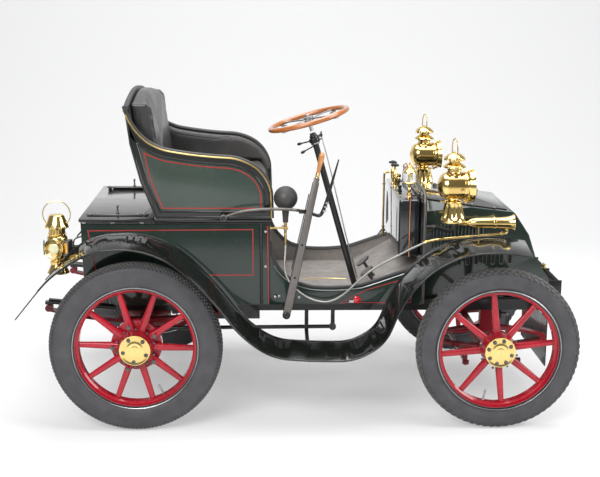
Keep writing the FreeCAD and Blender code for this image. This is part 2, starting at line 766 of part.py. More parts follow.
def chassis_frame():
    """Side rails and cross members, the horns of the rear springs, and the small brackets they carry."""
    rail_y = S.rail_gauge / 2
    outer = rail_y + S.rail_width / 2
    spring_y = S.rear_spring_gauge / 2
    horn_x, eye_x = rear_axle - S.rear_spring_reach, rear_axle + S.rear_spring_reach
    eye_top = rear_eye_z + eye_r + S.seat_gap
    horn_r = S.stay_radius * 1.5
    parts, holes = [], []
    for side in (-1, 1):
        y = side * rail_y - S.rail_width / 2
        parts.append(block(rail_rear, y, rail_low, rail_front - rail_rear, S.rail_width, S.rail_height))
        parts.append(rod((rail_rear + horn_r, side * spring_y, rail_low + S.rail_height / 2),
                         (horn_x, side * spring_y, eye_top + horn_r), horn_r))
        parts.append(block(horn_x - eye_r, side * spring_y - horn_r, eye_top, eye_r * 2, horn_r * 2, horn_r))
        shelf_y = rail_y if side > 0 else -spring_y - S.spring_width / 2
        parts.append(block(eye_x - eye_r, shelf_y, eye_top, eye_r * 2, spring_y + S.spring_width / 2 - rail_y,
                           rail_top - S.seat_gap - eye_top))
        rod_x, rod_y = radius_rod_end[0], side * S.radius_rod_gauge / 2 - S.track_rod_radius
        hanger_z = radius_rod_end[1] + S.spring_eye_radius + S.seat_gap
        parts.append(block(rod_x - S.track_rod_radius, rod_y, hanger_z, S.track_rod_radius * 2,
                           S.track_rod_radius * 2, rail_low + S.track_rod_radius - hanger_z))
        parts.append(block(rail_front - S.cross_member / 2, side * S.radiator_width / 3 - S.tow_eye_plate / 2,
                           S.radiator_base, radiator_x - rail_front + S.cross_member / 2, S.tow_eye_plate,
                           rail_top - S.seat_gap - S.radiator_base))
    bars, inner = S.rail_height * 0.8, rail_y - S.rail_width / 2 - S.seat_gap
    for x in (rail_rear, station(S.seat_front), dash_x, starter_x - S.cross_member / 2,
              rail_front - S.cross_member):
        parts.append(block(x, -inner, rail_low, S.cross_member, inner * 2, bars))
    stub = spring_y + horn_r - outer - S.seat_gap
    for near in (outer + S.seat_gap, -outer - S.seat_gap - stub):
        parts.append(block(rail_rear, near, rail_low, S.cross_member, stub, bars))
    for x, ahead in ((rail_rear, -1), (rail_front, 1)):
        eye_z = rail_low + bars / 2
        parts.append(block(x - S.tow_eye_reach if ahead < 0 else x, -S.tow_eye_radius * 2,
                           eye_z - S.tow_eye_plate / 2, S.tow_eye_reach, S.tow_eye_radius * 4,
                           S.tow_eye_plate))
        holes.append(cylinder(x + ahead * S.tow_eye_reach / 2, 0.0, eye_z - S.tow_eye_plate,
                              S.tow_eye_radius, S.tow_eye_plate * 2))
    r = S.track_rod_radius * 2
    hanger = rail_low - S.starter_height + r * 2
    parts.append(block(starter_x - r, -r, S.starter_height - r, r * 2, r * 2, hanger))
    return node(cut(fuse(*parts), *holes), "chassis_frame")


chassis_frame()

# Steering column's line

tilt = math.radians(plain(S.column_tilt))
column_turn = FreeCAD.Rotation(Y_AXIS, -plain(S.column_tilt))
foot_x, foot_z = station(S.column_foot), S.column_foot_height


def on_column(distance):
    """A point of the column's axis, this far above its foot."""
    return (foot_x - distance * math.sin(tilt), -S.column_offset, foot_z + distance * math.cos(tilt))


def along_column(distance, radius, height):
    return cylinder(*on_column(distance), radius, height, column_turn)


# Body: boot, seat box and footwell

body_rear = station(-S.tail_overhang_of_body)
box_front = station(S.seat_front)
seat_rear = station(S.seat_foot)
half_body = S.body_width / 2
wall = S.body_wall


def body_box():
    """The panelled box that holds the boot and carries the seat, open on top and hollow inside."""
    body = new_body()
    low, high = S.body_floor, S.deck_height - S.deck_thickness
    tail_low = low + S.tail_lift
    pad(body, "XZ_Plane", [
        (body_rear + S.tail_slope, low), (box_front, low), (box_front, high),
        (body_rear - S.deck_overlap / 2, high), (body_rear, tail_low)], S.body_width, -half_body)
    inner = S.body_width - wall * 2
    for start, end in ((body_rear + wall, seat_rear - wall), (seat_rear, box_front - wall)):
        first = max(plain(start), plain(body_rear + S.tail_slope))
        floor = low + wall
        lift = tail_low + wall / 2 if start.number < first else floor
        outline = [(end, floor), (end, high + wall), (start, high + wall)]
        outline += [(start, lift), (body_rear + S.tail_slope + wall / 2, floor)] if lift is not floor else [
            (start, floor)]
        pocket(body, "XZ_Plane", outline, inner, -(inner / 2))
    return node(body, "body_box")


body_box()

lid_hinge_x = seat_rear - wall / 2
lid_rear = body_rear - S.deck_overlap


def boot_lid():
    """The deck over the boot: a flat lid that lifts about its front edge."""
    z = S.deck_height - S.deck_thickness + S.seat_gap
    width = S.body_width + S.deck_overlap * 2
    lid = block(lid_rear, -width / 2, z, lid_hinge_x - lid_rear, width, S.deck_thickness)
    bars = []
    for side in (-1, 1):
        y = side * (half_body - wall * 3)
        top = z + S.deck_thickness
        reach = lid_hinge_x - lid_rear - wall * 6
        bars.append(block(lid_rear + wall * 3, y - wall / 2, top, reach, wall, wall / 2))
        bars.append(cylinder((lid_rear + lid_hinge_x) / 2, y, top, wall / 5, wall * 2.6))
    return node(fuse(lid, *bars), "boot_lid")


boot_lid()

seat_z = S.deck_height - S.deck_thickness + S.seat_board
half_seat = S.seat_width / 2


def seat_base():
    """The board that closes the seat box and carries the seat's panels."""
    x = lid_hinge_x + S.seat_gap * 4
    return node(block(x, -half_seat, S.deck_height - S.deck_thickness, box_front + wall / 2 - x,
                      S.seat_width, S.seat_board), "seat_base")


seat_base()

panel = S.seat_panel
back_top_x = seat_rear - S.seat_lean


def back_edge(height_share, offset=0.0):
    """X of the leaning, slightly swelling rear face of the seat at a share of its height."""
    swell = S.seat_bulge * (4 * height_share * (1 - height_share))
    return seat_rear - S.seat_lean * height_share - swell + offset


def back_z(height_share):
    return seat_z + (S.seat_back_top - seat_z) * height_share


ARM_SHARES = ((0.9945, 0.22), (0.952, 0.373), (0.8692, 0.4797), (0.8014, 0.5222), (0.6662, 0.5539),
              (0.494, 0.572), (0.3224, 0.6037), (0.2058, 0.649), (0.153, 0.689),
              (0.0545, 0.829), (0.0, 1.0))
LINING_SHARES = ((0.985, 0.2662), (0.945, 0.39)) + ARM_SHARES[2:9] + ((0.112, 0.717),)
LINING_TIP_SHARE = 0.25
arm_front = box_front + wall / 2


def sweep(shares):
    """The arm's top edge from the front to the back: arcs, each through every second point."""
    reach, rise = arm_front - back_top_x, S.seat_back_top - seat_z
    points = [(back_top_x + reach * along, seat_z + rise * up) for along, up in shares]
    return [("via", *point) if i % 2 else point for i, point in enumerate(points)]


def seat_sides():
    """The panels at each end of the seat: a tall wing behind, sweeping down to the arm."""
    for word, side in sides.items():
        body = new_body()
        outline = [(seat_rear, seat_z), (arm_front, seat_z)] + sweep(ARM_SHARES)
        outline += [(back_edge(2 / 3), back_z(2 / 3)), (back_edge(1 / 3), back_z(1 / 3))]
        y = side * (half_seat - panel / 2)
        pad(body, "XZ_Plane", outline, panel, -(y + panel / 2))
        node(body, f"seat_side_{word}")


seat_sides()


def seat_back():
    """The back panel, bowed in side view and crowned along its top."""
    body = new_body()
    inner = half_seat - panel
    top = S.seat_crown + panel
    top_share = (S.seat_crown + panel - seat_z).number / (S.seat_back_top - seat_z).number
    pad(body, "XZ_Plane", [
        (seat_rear, seat_z), (seat_rear + panel, seat_z),
        (back_edge(1 / 3, panel), back_z(1 / 3)), (back_edge(2 / 3, panel), back_z(2 / 3)),
        (back_edge(1.0, panel), S.seat_back_top),
        (back_edge(top_share, panel), top), (back_edge(top_share), top), (back_edge(1.0), S.seat_back_top),
        (back_edge(2 / 3), back_z(2 / 3)), (back_edge(1 / 3), back_z(1 / 3))], inner * 2, -inner)
    doc.recompute()
    above = top + panel
    pocket(body, "YZ_Plane", [
        (-inner - panel, S.seat_back_top), ("via", 0.0, S.seat_crown), (inner + panel, S.seat_back_top),
        (inner + panel, above), (-inner - panel, above)],
        S.seat_lean * 4, back_top_x - S.seat_lean * 2)
    return node(body, "seat_back")


seat_back()


PAD_TOP_SHARE = 0.45


def cushions():
    """The seat squab, the pad on the back and the padded lining of each side."""
    inner = half_seat - panel - S.seat_gap
    back_foot = seat_rear + panel + S.back_pad_depth + S.seat_gap
    cushion = new_body()
    round_edge = S.cushion_round
    low, high = seat_z + S.seat_gap, seat_z + S.cushion_height
    pad(cushion, "XZ_Plane", [
        (back_foot, low), (box_front - wall / 2, low), (box_front + wall / 2, high, round_edge),
        (back_foot - wall, high, round_edge / 2)], inner * 2, -inner)
    node(cushion, "seat_cushion")
    back = new_body()
    gap, deep = panel + S.seat_gap, panel + S.back_pad_depth
    thin, half = panel + S.back_pad_depth * PAD_TOP_SHARE, inner - S.arm_pad_depth - S.seat_gap
    top, trim = S.seat_crown + panel, S.seat_gap * 20
    pad(back, "XZ_Plane", [
        (seat_rear + gap, low), (seat_rear + deep, low),
        (back_edge(1 / 3, deep), back_z(1 / 3)), (back_edge(2 / 3, deep), back_z(2 / 3)),
        (back_edge(1.0, thin), top), (back_edge(1.0, gap), top), (back_edge(1.0, gap), S.seat_back_top),
        (back_edge(2 / 3, gap), back_z(2 / 3)), (back_edge(1 / 3, gap), back_z(1 / 3))], half * 2, -half)
    doc.recompute()
    pocket(back, "YZ_Plane", [
        (-half, S.seat_back_top), ("via", 0.0, S.seat_crown - trim), (half, S.seat_back_top),
        (half, top + panel), (-half, top + panel)], S.seat_lean * 4, back_top_x - S.seat_lean * 2)
    middle_x, low_x, high_x = back_edge(1 / 3, gap), back_edge(2 / 3, gap), back_edge(1.0, gap)
    foot_share = (high + S.seat_gap - seat_z) / (back_z(1 / 3) - seat_z)
    lining_foot = seat_rear + gap + (middle_x - seat_rear - gap) * foot_share
    lining_tip = (low_x + (high_x - low_x) * LINING_TIP_SHARE, back_z(2 / 3 + LINING_TIP_SHARE / 3))
    linings = []
    for side in (-1, 1):
        lining = new_body()
        outline = [(lining_foot, high + S.seat_gap)] + sweep(LINING_SHARES)
        outline += [lining_tip, (low_x, back_z(2 / 3)), (middle_x, back_z(1 / 3))]
        near = side * inner if side < 0 else inner - S.arm_pad_depth
        pad(lining, "XZ_Plane", outline, S.arm_pad_depth, -(near + S.arm_pad_depth))
        linings.append(lining)
    node(fuse(back, *linings), "seat_back_pad")


cushions()

half_foot = S.footwell_width / 2
SIDE_DIP_SHARES = ((1.0, 0.5), (0.62, 0.06), (0.44, 0.0), (0.26, 0.02), (0.17, 0.115), (0.06, 0.42),
                   (0.0, 1.0))


def footwell():
    """Floor, toe board and the two low scooped sides that one steps over."""
    low, rise = S.body_floor, S.deck_height - wall * 4 - S.body_floor - (S.toe_board_top - S.body_floor) / 2
    dip = low + wall * 4.4
    run = dash_x - box_front
    top = [(box_front + run * along, dip + (rise - wall * 1.4) * up) for along, up in SIDE_DIP_SHARES]
    body = new_body()
    outline = [(box_front, low), (dash_x, low)]
    outline += [("via", *point) if i in (2, 5) else point for i, point in enumerate(top)]
    pad(body, "XZ_Plane", outline, S.footwell_width, -half_foot)
    inner = half_foot - wall
    above = S.deck_height
    floor = low + wall
    toe = station(S.toe_board_foot)
    pocket(body, "XZ_Plane", [
        (box_front - wall, floor), (toe, floor), (dash_x + wall, S.toe_board_top), (dash_x + wall, above),
        (box_front - wall, above)], inner * 2, -inner)
    hole = along_column(-S.column_socket, S.column_radius + S.bonnet_wall, S.column_length)
    return node(cut(body, hole), "footwell")


footwell()


def dash_board():
    """The upright board in front of the driver, with rounded upper corners."""
    body = new_body()
    half, r = S.dash_width / 2, S.dash_corner
    pad(body, "YZ_Plane", [(-half, S.body_floor), (half, S.body_floor), (half, S.dash_top, r),
                           (-half, S.dash_top, r)], S.dash_thickness, dash_x)
    return node(body, "dash_board")


dash_board()
tank_low = S.toe_board_top + S.body_wall + S.seat_gap
tank_x = dash_x - S.tank_depth
node(block(tank_x, -S.tank_width / 2, tank_low, S.tank_depth, S.tank_width, S.tank_height), "dash_tank")

# Bonnet, engine and radiator

rail_base = S.body_floor


def bonnet_form(inset):
    """The coal-scuttle shape: a side view, an end view and a plan laid through each other."""
    side_view = new_body()
    back, top, front = bonnet_x, S.bonnet_rear_top - inset, S.bonnet_front_top - inset
    fore = bonnet_x + S.bonnet_length
    fall = front - rail_base
    nose_reach = S.nose_reach
    pad(side_view, "XZ_Plane", [
        (back, rail_base), (back, top), (fore, front, wall),
        (fore + nose_reach * 0.4 - inset, front - fall * 0.27, wall),
        (fore + nose_reach * 0.6 - inset, front - fall * 0.54, wall),
        (nose_x - inset, rail_base + fall * 0.17), (nose_x - inset - wall, rail_base)],
        S.bonnet_width * 2, -S.bonnet_width)
    end_view = new_body()
    half, flat = S.bonnet_width / 2 - inset, S.bonnet_flat / 2 - inset
    bevel = S.bonnet_bevel
    pad(end_view, "YZ_Plane", [
        (-half, rail_base), (half, rail_base), (half, top - bevel), (flat, top + inset), (-flat, top + inset),
        (-half, top - bevel)], nose_x - back + wall, back - wall / 2)
    plan = new_body()
    nose = S.bonnet_nose_width / 2 - inset
    pad(plan, "XY_Plane", [(back - wall, -half), (nose_x + wall, -nose), (nose_x + wall, nose),
                           (back - wall, half)], S.dash_top, rail_base - wall)
    return common(side_view, end_view, plan)


lid_back = bonnet_x + S.lid_margin
lid_front = bonnet_x + S.bonnet_length - S.lid_margin
lid_half = S.bonnet_nose_width / 2 - S.lid_margin / 2
bonnet_slope = (S.bonnet_rear_top - S.bonnet_front_top) / S.bonnet_length
lid_edge = S.lid_margin / 2
lid_rear_z = S.bonnet_rear_top + S.seat_gap - bonnet_slope * lid_edge


def bonnet():
    """Sheet-metal bonnet with an opening on top, and the lid that lies over it."""
    shell = cut(bonnet_form(0.0), bonnet_form(S.bonnet_wall))
    hole = block(lid_back, -lid_half, S.bonnet_front_top - wall * 2, lid_front - lid_back, lid_half * 2,
                 S.dash_top - S.bonnet_front_top)
    node(cut(shell, hole), "bonnet")
    back, run = lid_back - lid_edge, lid_front - lid_back + lid_edge * 2
    low, half, thick = lid_rear_z - bonnet_slope * run, lid_half + lid_edge / 2, S.bonnet_wall
    lid = new_body()
    pad(lid, "XZ_Plane", [(back, lid_rear_z), (back + run, low), (back + run, low + thick),
                          (back, lid_rear_z + thick)], half * 2, -half)
    grip_x, grip_z, grip = back + run * 0.7, low + thick / 2, lid_edge * 1.6
    post = cylinder(grip_x, 0.0, grip_z, thick * 0.8, grip)
    bar = cylinder(grip_x, -grip / 2, grip_z + grip, thick, grip, TO_LEFT)
    node(fuse(lid, post, bar), "bonnet_lid")


bonnet()


def power_pack():
    """The engine as one plain block between the rails, and the finned-tube radiator ahead of the nose."""
    x, inner = bonnet_x + S.lid_margin, S.rail_gauge / 2 - S.rail_width / 2
    engine = block(x, -S.engine_width / 2, rail_low, S.engine_length, S.engine_width, S.engine_height)
    beds = [block(x + S.engine_length * share, -inner, rail_low, S.cross_member, inner * 2, S.cross_member)
            for share in (0.15, 0.75)]
    node(fuse(engine, *beds), "engine")
    node(block(radiator_x, -S.radiator_width / 2, S.radiator_base, S.radiator_depth, S.radiator_width,
               S.radiator_height), "radiator")


power_pack()

# Wings and steps

WING_SHARES = (
    (-0.3237, 0.631), (-0.216, 0.864), (-0.119, 1.006), (0.006, 1.02), (0.107, 0.948), (0.207, 0.768),
    (0.295, 0.546), (0.376, 0.435), (0.477, 0.42), (0.596, 0.418), (0.674, 0.504), (0.721, 0.732),
    (0.797, 0.9), (0.891, 0.987), (0.985, 1.001), (1.076, 0.975))
wing_y = S.wing_outer - S.wing_width / 2
TIP_STEPS = 12


def wing(word, side):
    """One long pressed strip: rear wing, step and front wing, swept along its side view."""
    points = [vector(rear_axle + S.wheelbase * along, side * wing_y, S.rear_wing_crest * up)
              for along, up in WING_SHARES]
    across = Y_AXIS * side
    half, thin, tilt = plain(S.wing_width) / 2, plain(S.wing_sheet) / 2, plain(S.wing_tilt) / 2
    upward = Z_AXIS
    for _ in range(TIP_STEPS):
        points[0].x = (tilt + thin) * abs(upward.x) - plain(length) / 2
        ahead = (points[1] - points[0]).normalize()
        upward = FreeCAD.Vector(-ahead.z, 0, ahead.x)
    route = doc.addObject("Part::Feature", "route")
    route.Shape = routed_wire(points, math.inf)
    corners = [points[0] + across * half * out - upward * (tilt * out) + upward * (thin * up)
               for out, up in ((1, -1), (1, 1), (-1, 1), (-1, -1))]
    section = doc.addObject("Part::Feature", "section")
    section.Shape = Part.makePolygon(corners + corners[:1])
    sweep = doc.addObject("Part::Sweep", "strip")
    sweep.Sections = [section]
    sweep.Spine = (route, [f"Edge{i + 1}" for i in range(len(route.Shape.Edges))])
    sweep.Solid = True
    return node(sweep, f"wing_{word}")


wings = {word: wing(word, side) for word, side in sides.items()}
doc.recompute()


def seat_height(strip, x, y, reach, upper):
    """Where the end of an upright bar of this radius meets a strip, from above or from below."""
    heights = []
    for dx, dy in ((-reach, 0), (reach, 0), (0, -reach), (0, reach)):
        line = Part.makeLine(vector(x + dx, y + dy, 0), vector(x + dx, y + dy, S.seat_crown))
        crossing = [v.Z for v in strip.Shape.common(line).Vertexes]
        if crossing:
            heights.append(max(crossing) if upper else min(crossing))
    return max(heights) + plain(S.seat_gap) if upper else min(heights) - plain(S.seat_gap)


def wing_stays():
    """Iron arms that hold each strip: from the body, the dash board and the rail, and below the step."""
    r = S.stay_radius
    rail_y, rail_side = S.rail_gauge / 2, S.rail_width / 2
    parts = []
    for word, side in sides.items():
        y = side * (S.wing_outer - S.wing_width + S.stay_inset)
        for x, start in ((station(S.seat_foot * 1.6), half_body + S.seat_gap),
                         (dash_x + S.dash_thickness / 2, S.dash_width / 2 + S.seat_gap)):
            touch = seat_height(wings[word], x, y, r * 0.7, False)
            level = touch - r * 4
            parts.append(bent_bar([(x, side * start, level), (x, y, level), (x, y, touch)], r * 0.7, r * 2))
        x, post_y = front_axle - S.spring_clip * 1.2, side * (rail_y + rail_side - r * 1.2)
        touch = seat_height(wings[word], x, y, r, False)
        level = touch - r * 6
        parts.append(bent_bar([(x, post_y, rail_top), (x, post_y, level), (x, y, level), (x, y, touch)],
                              r, r * 3))
        x = station(S.seat_front * 1.29)
        near, far = S.wing_outer - S.wing_width + r, S.wing_outer - r * 4
        heights = [seat_height(wings[word], x, side * out, r / 4, False) - r for out in (near, far)]
        fall = (heights[1] - heights[0]) / (plain(far) - plain(near))
        start_z = heights[0] - fall * (plain(near) - plain(rail_y + rail_side - r))
        foot_y = side * (rail_y + rail_side - r)
        parts.append(bent_bar([(x, foot_y, rail_low), (x, foot_y, start_z), (x, side * far, heights[1])],
                              r, r * 3))
    node(fuse(*parts), "wing_stays")


wing_stays()

# Steering column, wheel and hand controls


def steering():
    shaft = S.column_radius * 0.6
    insert = S.column_radius * 4
    tube = along_column(-S.column_socket, S.column_radius, S.column_length + S.column_socket)
    bore = along_column(S.column_length - insert, shaft + S.running_fit, insert * 2)
    low_x = on_column(-S.column_socket)[0]
    rail_face = S.rail_gauge / 2 - S.rail_width / 2
    gear = block(low_x - S.arm_width * 1.5, -rail_face, rail_low, S.arm_width * 3,
                 rail_face - S.column_offset + S.column_radius * 2, S.rail_height - S.seat_gap)
    node(fuse(cut(tube, bore), gear), "steering_column")
    hub_z = S.column_length + S.wheel_rise
    hub_r = S.steering_hub_radius
    start = S.column_length - insert + S.seat_gap * 10
    parts = [along_column(start, shaft, hub_z - start),
             along_column(hub_z - hub_r / 2, hub_r, hub_r)]
    reach = S.steering_rim_radius - S.steering_grip_radius - S.seat_gap
    centre = on_column(hub_z)
    for quarter in range(4):
        turn = column_turn.multiply(FreeCAD.Rotation(Z_AXIS, 45 + 90 * quarter)).multiply(TO_FRONT)
        parts.append(cylinder(*centre, S.steering_arm_radius, reach, turn))
    node(fuse(*parts), "steering_spider")
    node(ring(*centre, S.steering_rim_radius, S.steering_grip_radius, column_turn), "steering_rim")
    collar = along_column(S.column_length - hub_r * 2, hub_r, hub_r * 1.5)
    hole = along_column(S.column_length - hub_r * 3, S.column_radius + S.running_fit, hub_r * 4)
    levers = [cut(collar, hole)]
    for rise, out in ((1.2, 0.3), (0.7, -0.3)):
        base = on_column(S.column_length - hub_r * (2 - rise))
        tip = (base[0] - hub_r * 3, base[1] + hub_r * out, base[2] - hub_r * (1.2 - rise))
        levers.append(rod((base[0] - hub_r * 0.8, base[1], base[2]), tip, hub_r / 6))
        levers.append(ball(*tip, hub_r / 3))
    node(fuse(*levers), "hand_controls")


steering()


def flat_bar(start, end, width, y, thickness):
    """A flat bar in the car's side view, from one station and height to another."""
    a, b = vector(start[0], 0, start[1]), vector(end[0], 0, end[1])
    across = FreeCAD.Vector(-(b - a).z, 0, (b - a).x).normalize()
    body = new_body()
    dx, dz = width / 2 * across.x, width / 2 * across.z
    pad(body, "XZ_Plane", [
        (start[0] + dx, start[1] + dz), (start[0] - dx, start[1] - dz), (end[0] - dx, end[1] - dz),
        (end[0] + dx, end[1] + dz)], thickness, -(y + thickness / 2))
    return body


lever_y = -S.lever_side
lever_foot = (station(S.seat_front * 1.125), rail_top - S.rail_height / 2)
lever_top = (station(S.seat_front * 1.345), S.arm_height - S.handle_length * 0.6)
handle_top = (station(S.seat_front * 1.385), S.arm_height + S.handle_length * 0.45)


def brake_lever():
    """Hand brake: a flat steel lever outside the body with a turned wooden grip."""
    shaft_in = S.rail_gauge / 2 + S.rail_width / 2
    bar = flat_bar(lever_foot, lever_top, S.lever_width, lever_y, S.lever_thickness)
    pivot = cylinder(lever_foot[0], lever_y - S.lever_thickness, lever_foot[1], S.lever_width / 2,
                     S.lever_side - shaft_in + S.lever_thickness, TO_LEFT)
    node(fuse(bar, pivot), "brake_lever")
    a, b = vector(lever_top[0], lever_y, lever_top[1]), vector(handle_top[0], lever_y, handle_top[1])
    r, full, ahead = S.handle_radius, (b - a).Length, (b - a).normalize() * plain(S.seat_gap)
    grip = turned(lever_top[0] + ahead.x, lever_y, lever_top[1] + ahead.z, [
        (0.0, 0.0), (r * 0.6, 0.0), (r * 0.75, full * 0.3), (r, full * 0.75), (r * 0.95, full * 0.88),
        (r * 0.7, full * 0.97), (r * 0.3, full), (0.0, full)], FreeCAD.Rotation(Z_AXIS, b - a))
    node(grip, "brake_grip")


brake_lever()


SHIFT_ROUTE_SHARES = ((-0.353, 0.05), (-0.2, 0.17), (-0.06, 0.215), (0.147, 0.215), (0.28, 0.15),
                      (0.37, 0.085), (0.42, 0.3), (0.507, 1.058))


def shift_rod():
    """Gear lever: a long round rod beside the seat that bends up at its front end."""
    r, y = S.shift_rod_radius, -S.shift_rod_side
    arm = S.arm_height - seat_z
    route = [(station(S.seat_front * (1 + along)), y, seat_z + arm * up) for along, up in SHIFT_ROUTE_SHARES]
    bar = bent_bar(route, r, r * 5)
    boss = cylinder(route[0][0] + r / 4, y - r * 1.5, route[0][2], r * 1.8,
                    S.shift_rod_side + r * 1.5 - half_seat, TO_LEFT)
    node(fuse(bar, boss), "shift_rod")


shift_rod()


def pedals():
    """Two pedals on arms that rise from the toe board."""
    parts = []
    toe_x, r = station(S.toe_board_foot), S.pedal_rod_radius
    slope = (S.toe_board_top - rail_base - wall) / (dash_x + wall - toe_x)
    board = math.atan(plain(slope))
    square = FreeCAD.Rotation(Y_AXIS, -math.degrees(board))
    gap = S.seat_gap
    for share in (-0.13, -0.38):
        y = S.footwell_width * share
        x, z = toe_x + S.pedal_size, rail_base + wall + slope * S.pedal_size
        heel_x, heel_z = x - gap * math.sin(board), z + gap * math.cos(board)
        top = (x - S.pedal_size * 0.7, y, z + S.pedal_size)
        root = (heel_x - r / 2 * math.sin(board), y, heel_z + r / 2 * math.cos(board))
        parts.append(cylinder(heel_x, y, heel_z, r * 1.6, r, square))
        parts.append(rod(root, top, r))
        parts.append(cylinder(*top, S.pedal_size / 2, r, FreeCAD.Rotation(Y_AXIS, -40)))
    node(fuse(*parts), "pedals")


pedals()

# Lamps


def headlamp(word, side):
    """An acetylene headlamp: barrel and rim, tiered chimney, waisted base and a bail."""
    x, y, z = station(S.lamp_place), side * S.lamp_spread / 2, S.lamp_height
    r, full = S.lamp_barrel_radius, S.lamp_length
    back, front = -full * 0.45, full * 0.55
    barrel = turned(x, y, z, [
        (0.0, back), (r * 0.6, back), (r, back + r * 0.5), (r, front - r * 0.4), (r * 1.16, front - r * 0.3),
        (r * 1.16, front), (r * 0.98, front), (r * 0.98, front - r * 0.2), (0.0, front - r * 0.2)], TO_FRONT)
    drop, rise = S.lamp_base_drop, S.lamp_chimney
    base = turned(x, y, z, [
        (0.0, -drop), (r * 0.85, -drop), (r * 0.85, -drop * 0.93), (r * 0.62, -drop * 0.72),
        (r * 0.5, -drop * 0.62), (r * 0.75, -drop * 0.5), (r * 0.75, 0.0), (0.0, 0.0)])
    chimney = turned(x, y, z, [
        (0.0, 0.0), (r * 0.7, 0.0), (r * 0.7, rise * 0.5), (r * 0.55, rise * 0.6), (r * 0.8, rise * 0.64),
        (r * 0.55, rise * 0.72), (r * 0.5, rise * 0.8), (r * 0.62, rise * 0.84), (r * 0.35, rise * 0.95),
        (r * 0.2, rise), (0.0, rise)])
    bail = ring(x, y, z + rise + r * 0.45, r * 0.5, r * 0.05, TO_FRONT)
    node(fuse(barrel, base, chimney, bail), f"headlamp_{word}")
    return cylinder(x + front - r * 0.2 + S.seat_gap, y, z, r * 0.98 - S.seat_gap, r * 0.05, TO_FRONT)


lamp_glasses = [headlamp(word, side) for word, side in sides.items()]


def tail_lamp():
    """The rear lamp on the right: round lens to the side, waisted base, tiered cap and ring bail."""
    x, y, z = station(-S.tail_lamp_place), -S.tail_lamp_side, S.tail_lamp_height
    r = S.tail_lamp_radius
    body = turned(x, y, z, [
        (0.0, r * -2.56), (r * 1.05, r * -2.56), (r * 0.75, r * -1.8), (r * 0.7, r * -1.25), (r, r * -0.9),
        (r, r), (r * 0.72, r * 1.3), (r * 0.72, r * 1.9), (r * 1.05, r * 2.1), (r * 0.75, r * 2.9),
        (r * 0.5, r * 3.2), (0.0, r * 3.2)])
    lens = turned(x, y, z, [
        (0.0, r * 0.2), (r * 0.95, r * 0.2), (r * 0.95, r * 1.06), (r * 0.75, r * 1.14), (r * 0.75, r * 1.06),
        (0.0, r * 1.06)], TO_RIGHT)
    bail = ring(x, y, z + r * 3.2, r * 1.32, r * 0.07, TO_RIGHT)
    node(fuse(body, lens, bail), "tail_lamp")
    return cylinder(x, y - r * 1.06 - S.seat_gap, z, r * 0.75 - S.seat_gap, r * 0.08, TO_RIGHT)


lamp_glasses.append(tail_lamp())
node(fuse(*lamp_glasses), "lamp_glasses")


def lamp_brackets():
    """A round bar from the dash board under each headlamp, and one from the body's rear to the tail lamp."""
    x, top = station(S.lamp_place), S.lamp_height - S.lamp_base_drop - S.seat_gap
    r = S.stay_radius
    low, dash_y = top - r * 5, S.dash_width / 2 - r * 2
    parts = []
    for side in (-1, 1):
        y = side * S.lamp_spread / 2
        parts.append(bent_bar([(x, y, top), (x, y, low), (bonnet_x + r * 5, side * dash_y, low),
                               (bonnet_x + S.seat_gap, side * dash_y, low)], r, r * 2))
        parts.append(cylinder(x, y, top - r / 2, r * 2.4, r / 2))
    y, z = -S.tail_lamp_side, S.tail_lamp_height
    rise = S.deck_height - S.deck_thickness - S.body_floor - S.tail_lift
    rear_x = body_rear - S.deck_overlap / 2 * ((z - S.body_floor - S.tail_lift) / rise) - S.seat_gap
    lamp_x = station(-S.tail_lamp_place) + S.tail_lamp_radius + S.seat_gap
    plate = S.stay_radius * 2
    parts.append(rod((lamp_x, y, z), (rear_x - S.seat_gap, y, z), r * 0.8))
    parts.append(cylinder(rear_x - S.seat_gap - r / 2, y, z, plate, r / 2, TO_FRONT))
    return node(fuse(*parts), "lamp_brackets")


lamp_brackets()

# Horn

horn_y = -S.horn_side
bulb_x, bulb_z = station(S.horn_place), S.horn_bulb_height
horn_neck = bulb_z - S.horn_bulb_radius * 2.05
BULB_NECK = math.radians(20)


def horn():
    """Rubber bulb on its brass tube, and the small arm that holds the tube to the seat box."""
    r, tube = S.horn_bulb_radius, S.horn_tube_radius
    node(turned(bulb_x, horn_y, bulb_z, [
        (0.0, -r * 2.05), (r * 0.22, -r * 2.05), (r * 0.24, -r * 1.3),
        (r * math.sin(BULB_NECK), -r * math.cos(BULB_NECK)), ("via", r, 0.0), (0.0, r)]), "horn_bulb")
    clamp_z = horn_neck - r * 0.5
    top = horn_neck - S.seat_gap
    pipe = cylinder(bulb_x, horn_y, S.horn_tube_foot, tube, top - S.horn_tube_foot)
    clamp = cylinder(bulb_x, horn_y, clamp_z - tube, tube * 2, tube * 2)
    reach = bulb_x - box_front - S.seat_gap
    arm = cylinder(box_front + S.seat_gap, horn_y, clamp_z, tube * 0.8, reach, TO_FRONT)
    node(fuse(pipe, clamp, arm), "horn_tube")


horn()
trumpet_start = (station(S.trumpet_place), -S.trumpet_side, S.trumpet_height)
feed_start = (trumpet_start[0] - S.horn_tube_radius * 5, trumpet_start[1],
              trumpet_start[2] - S.horn_tube_radius * 2.2)


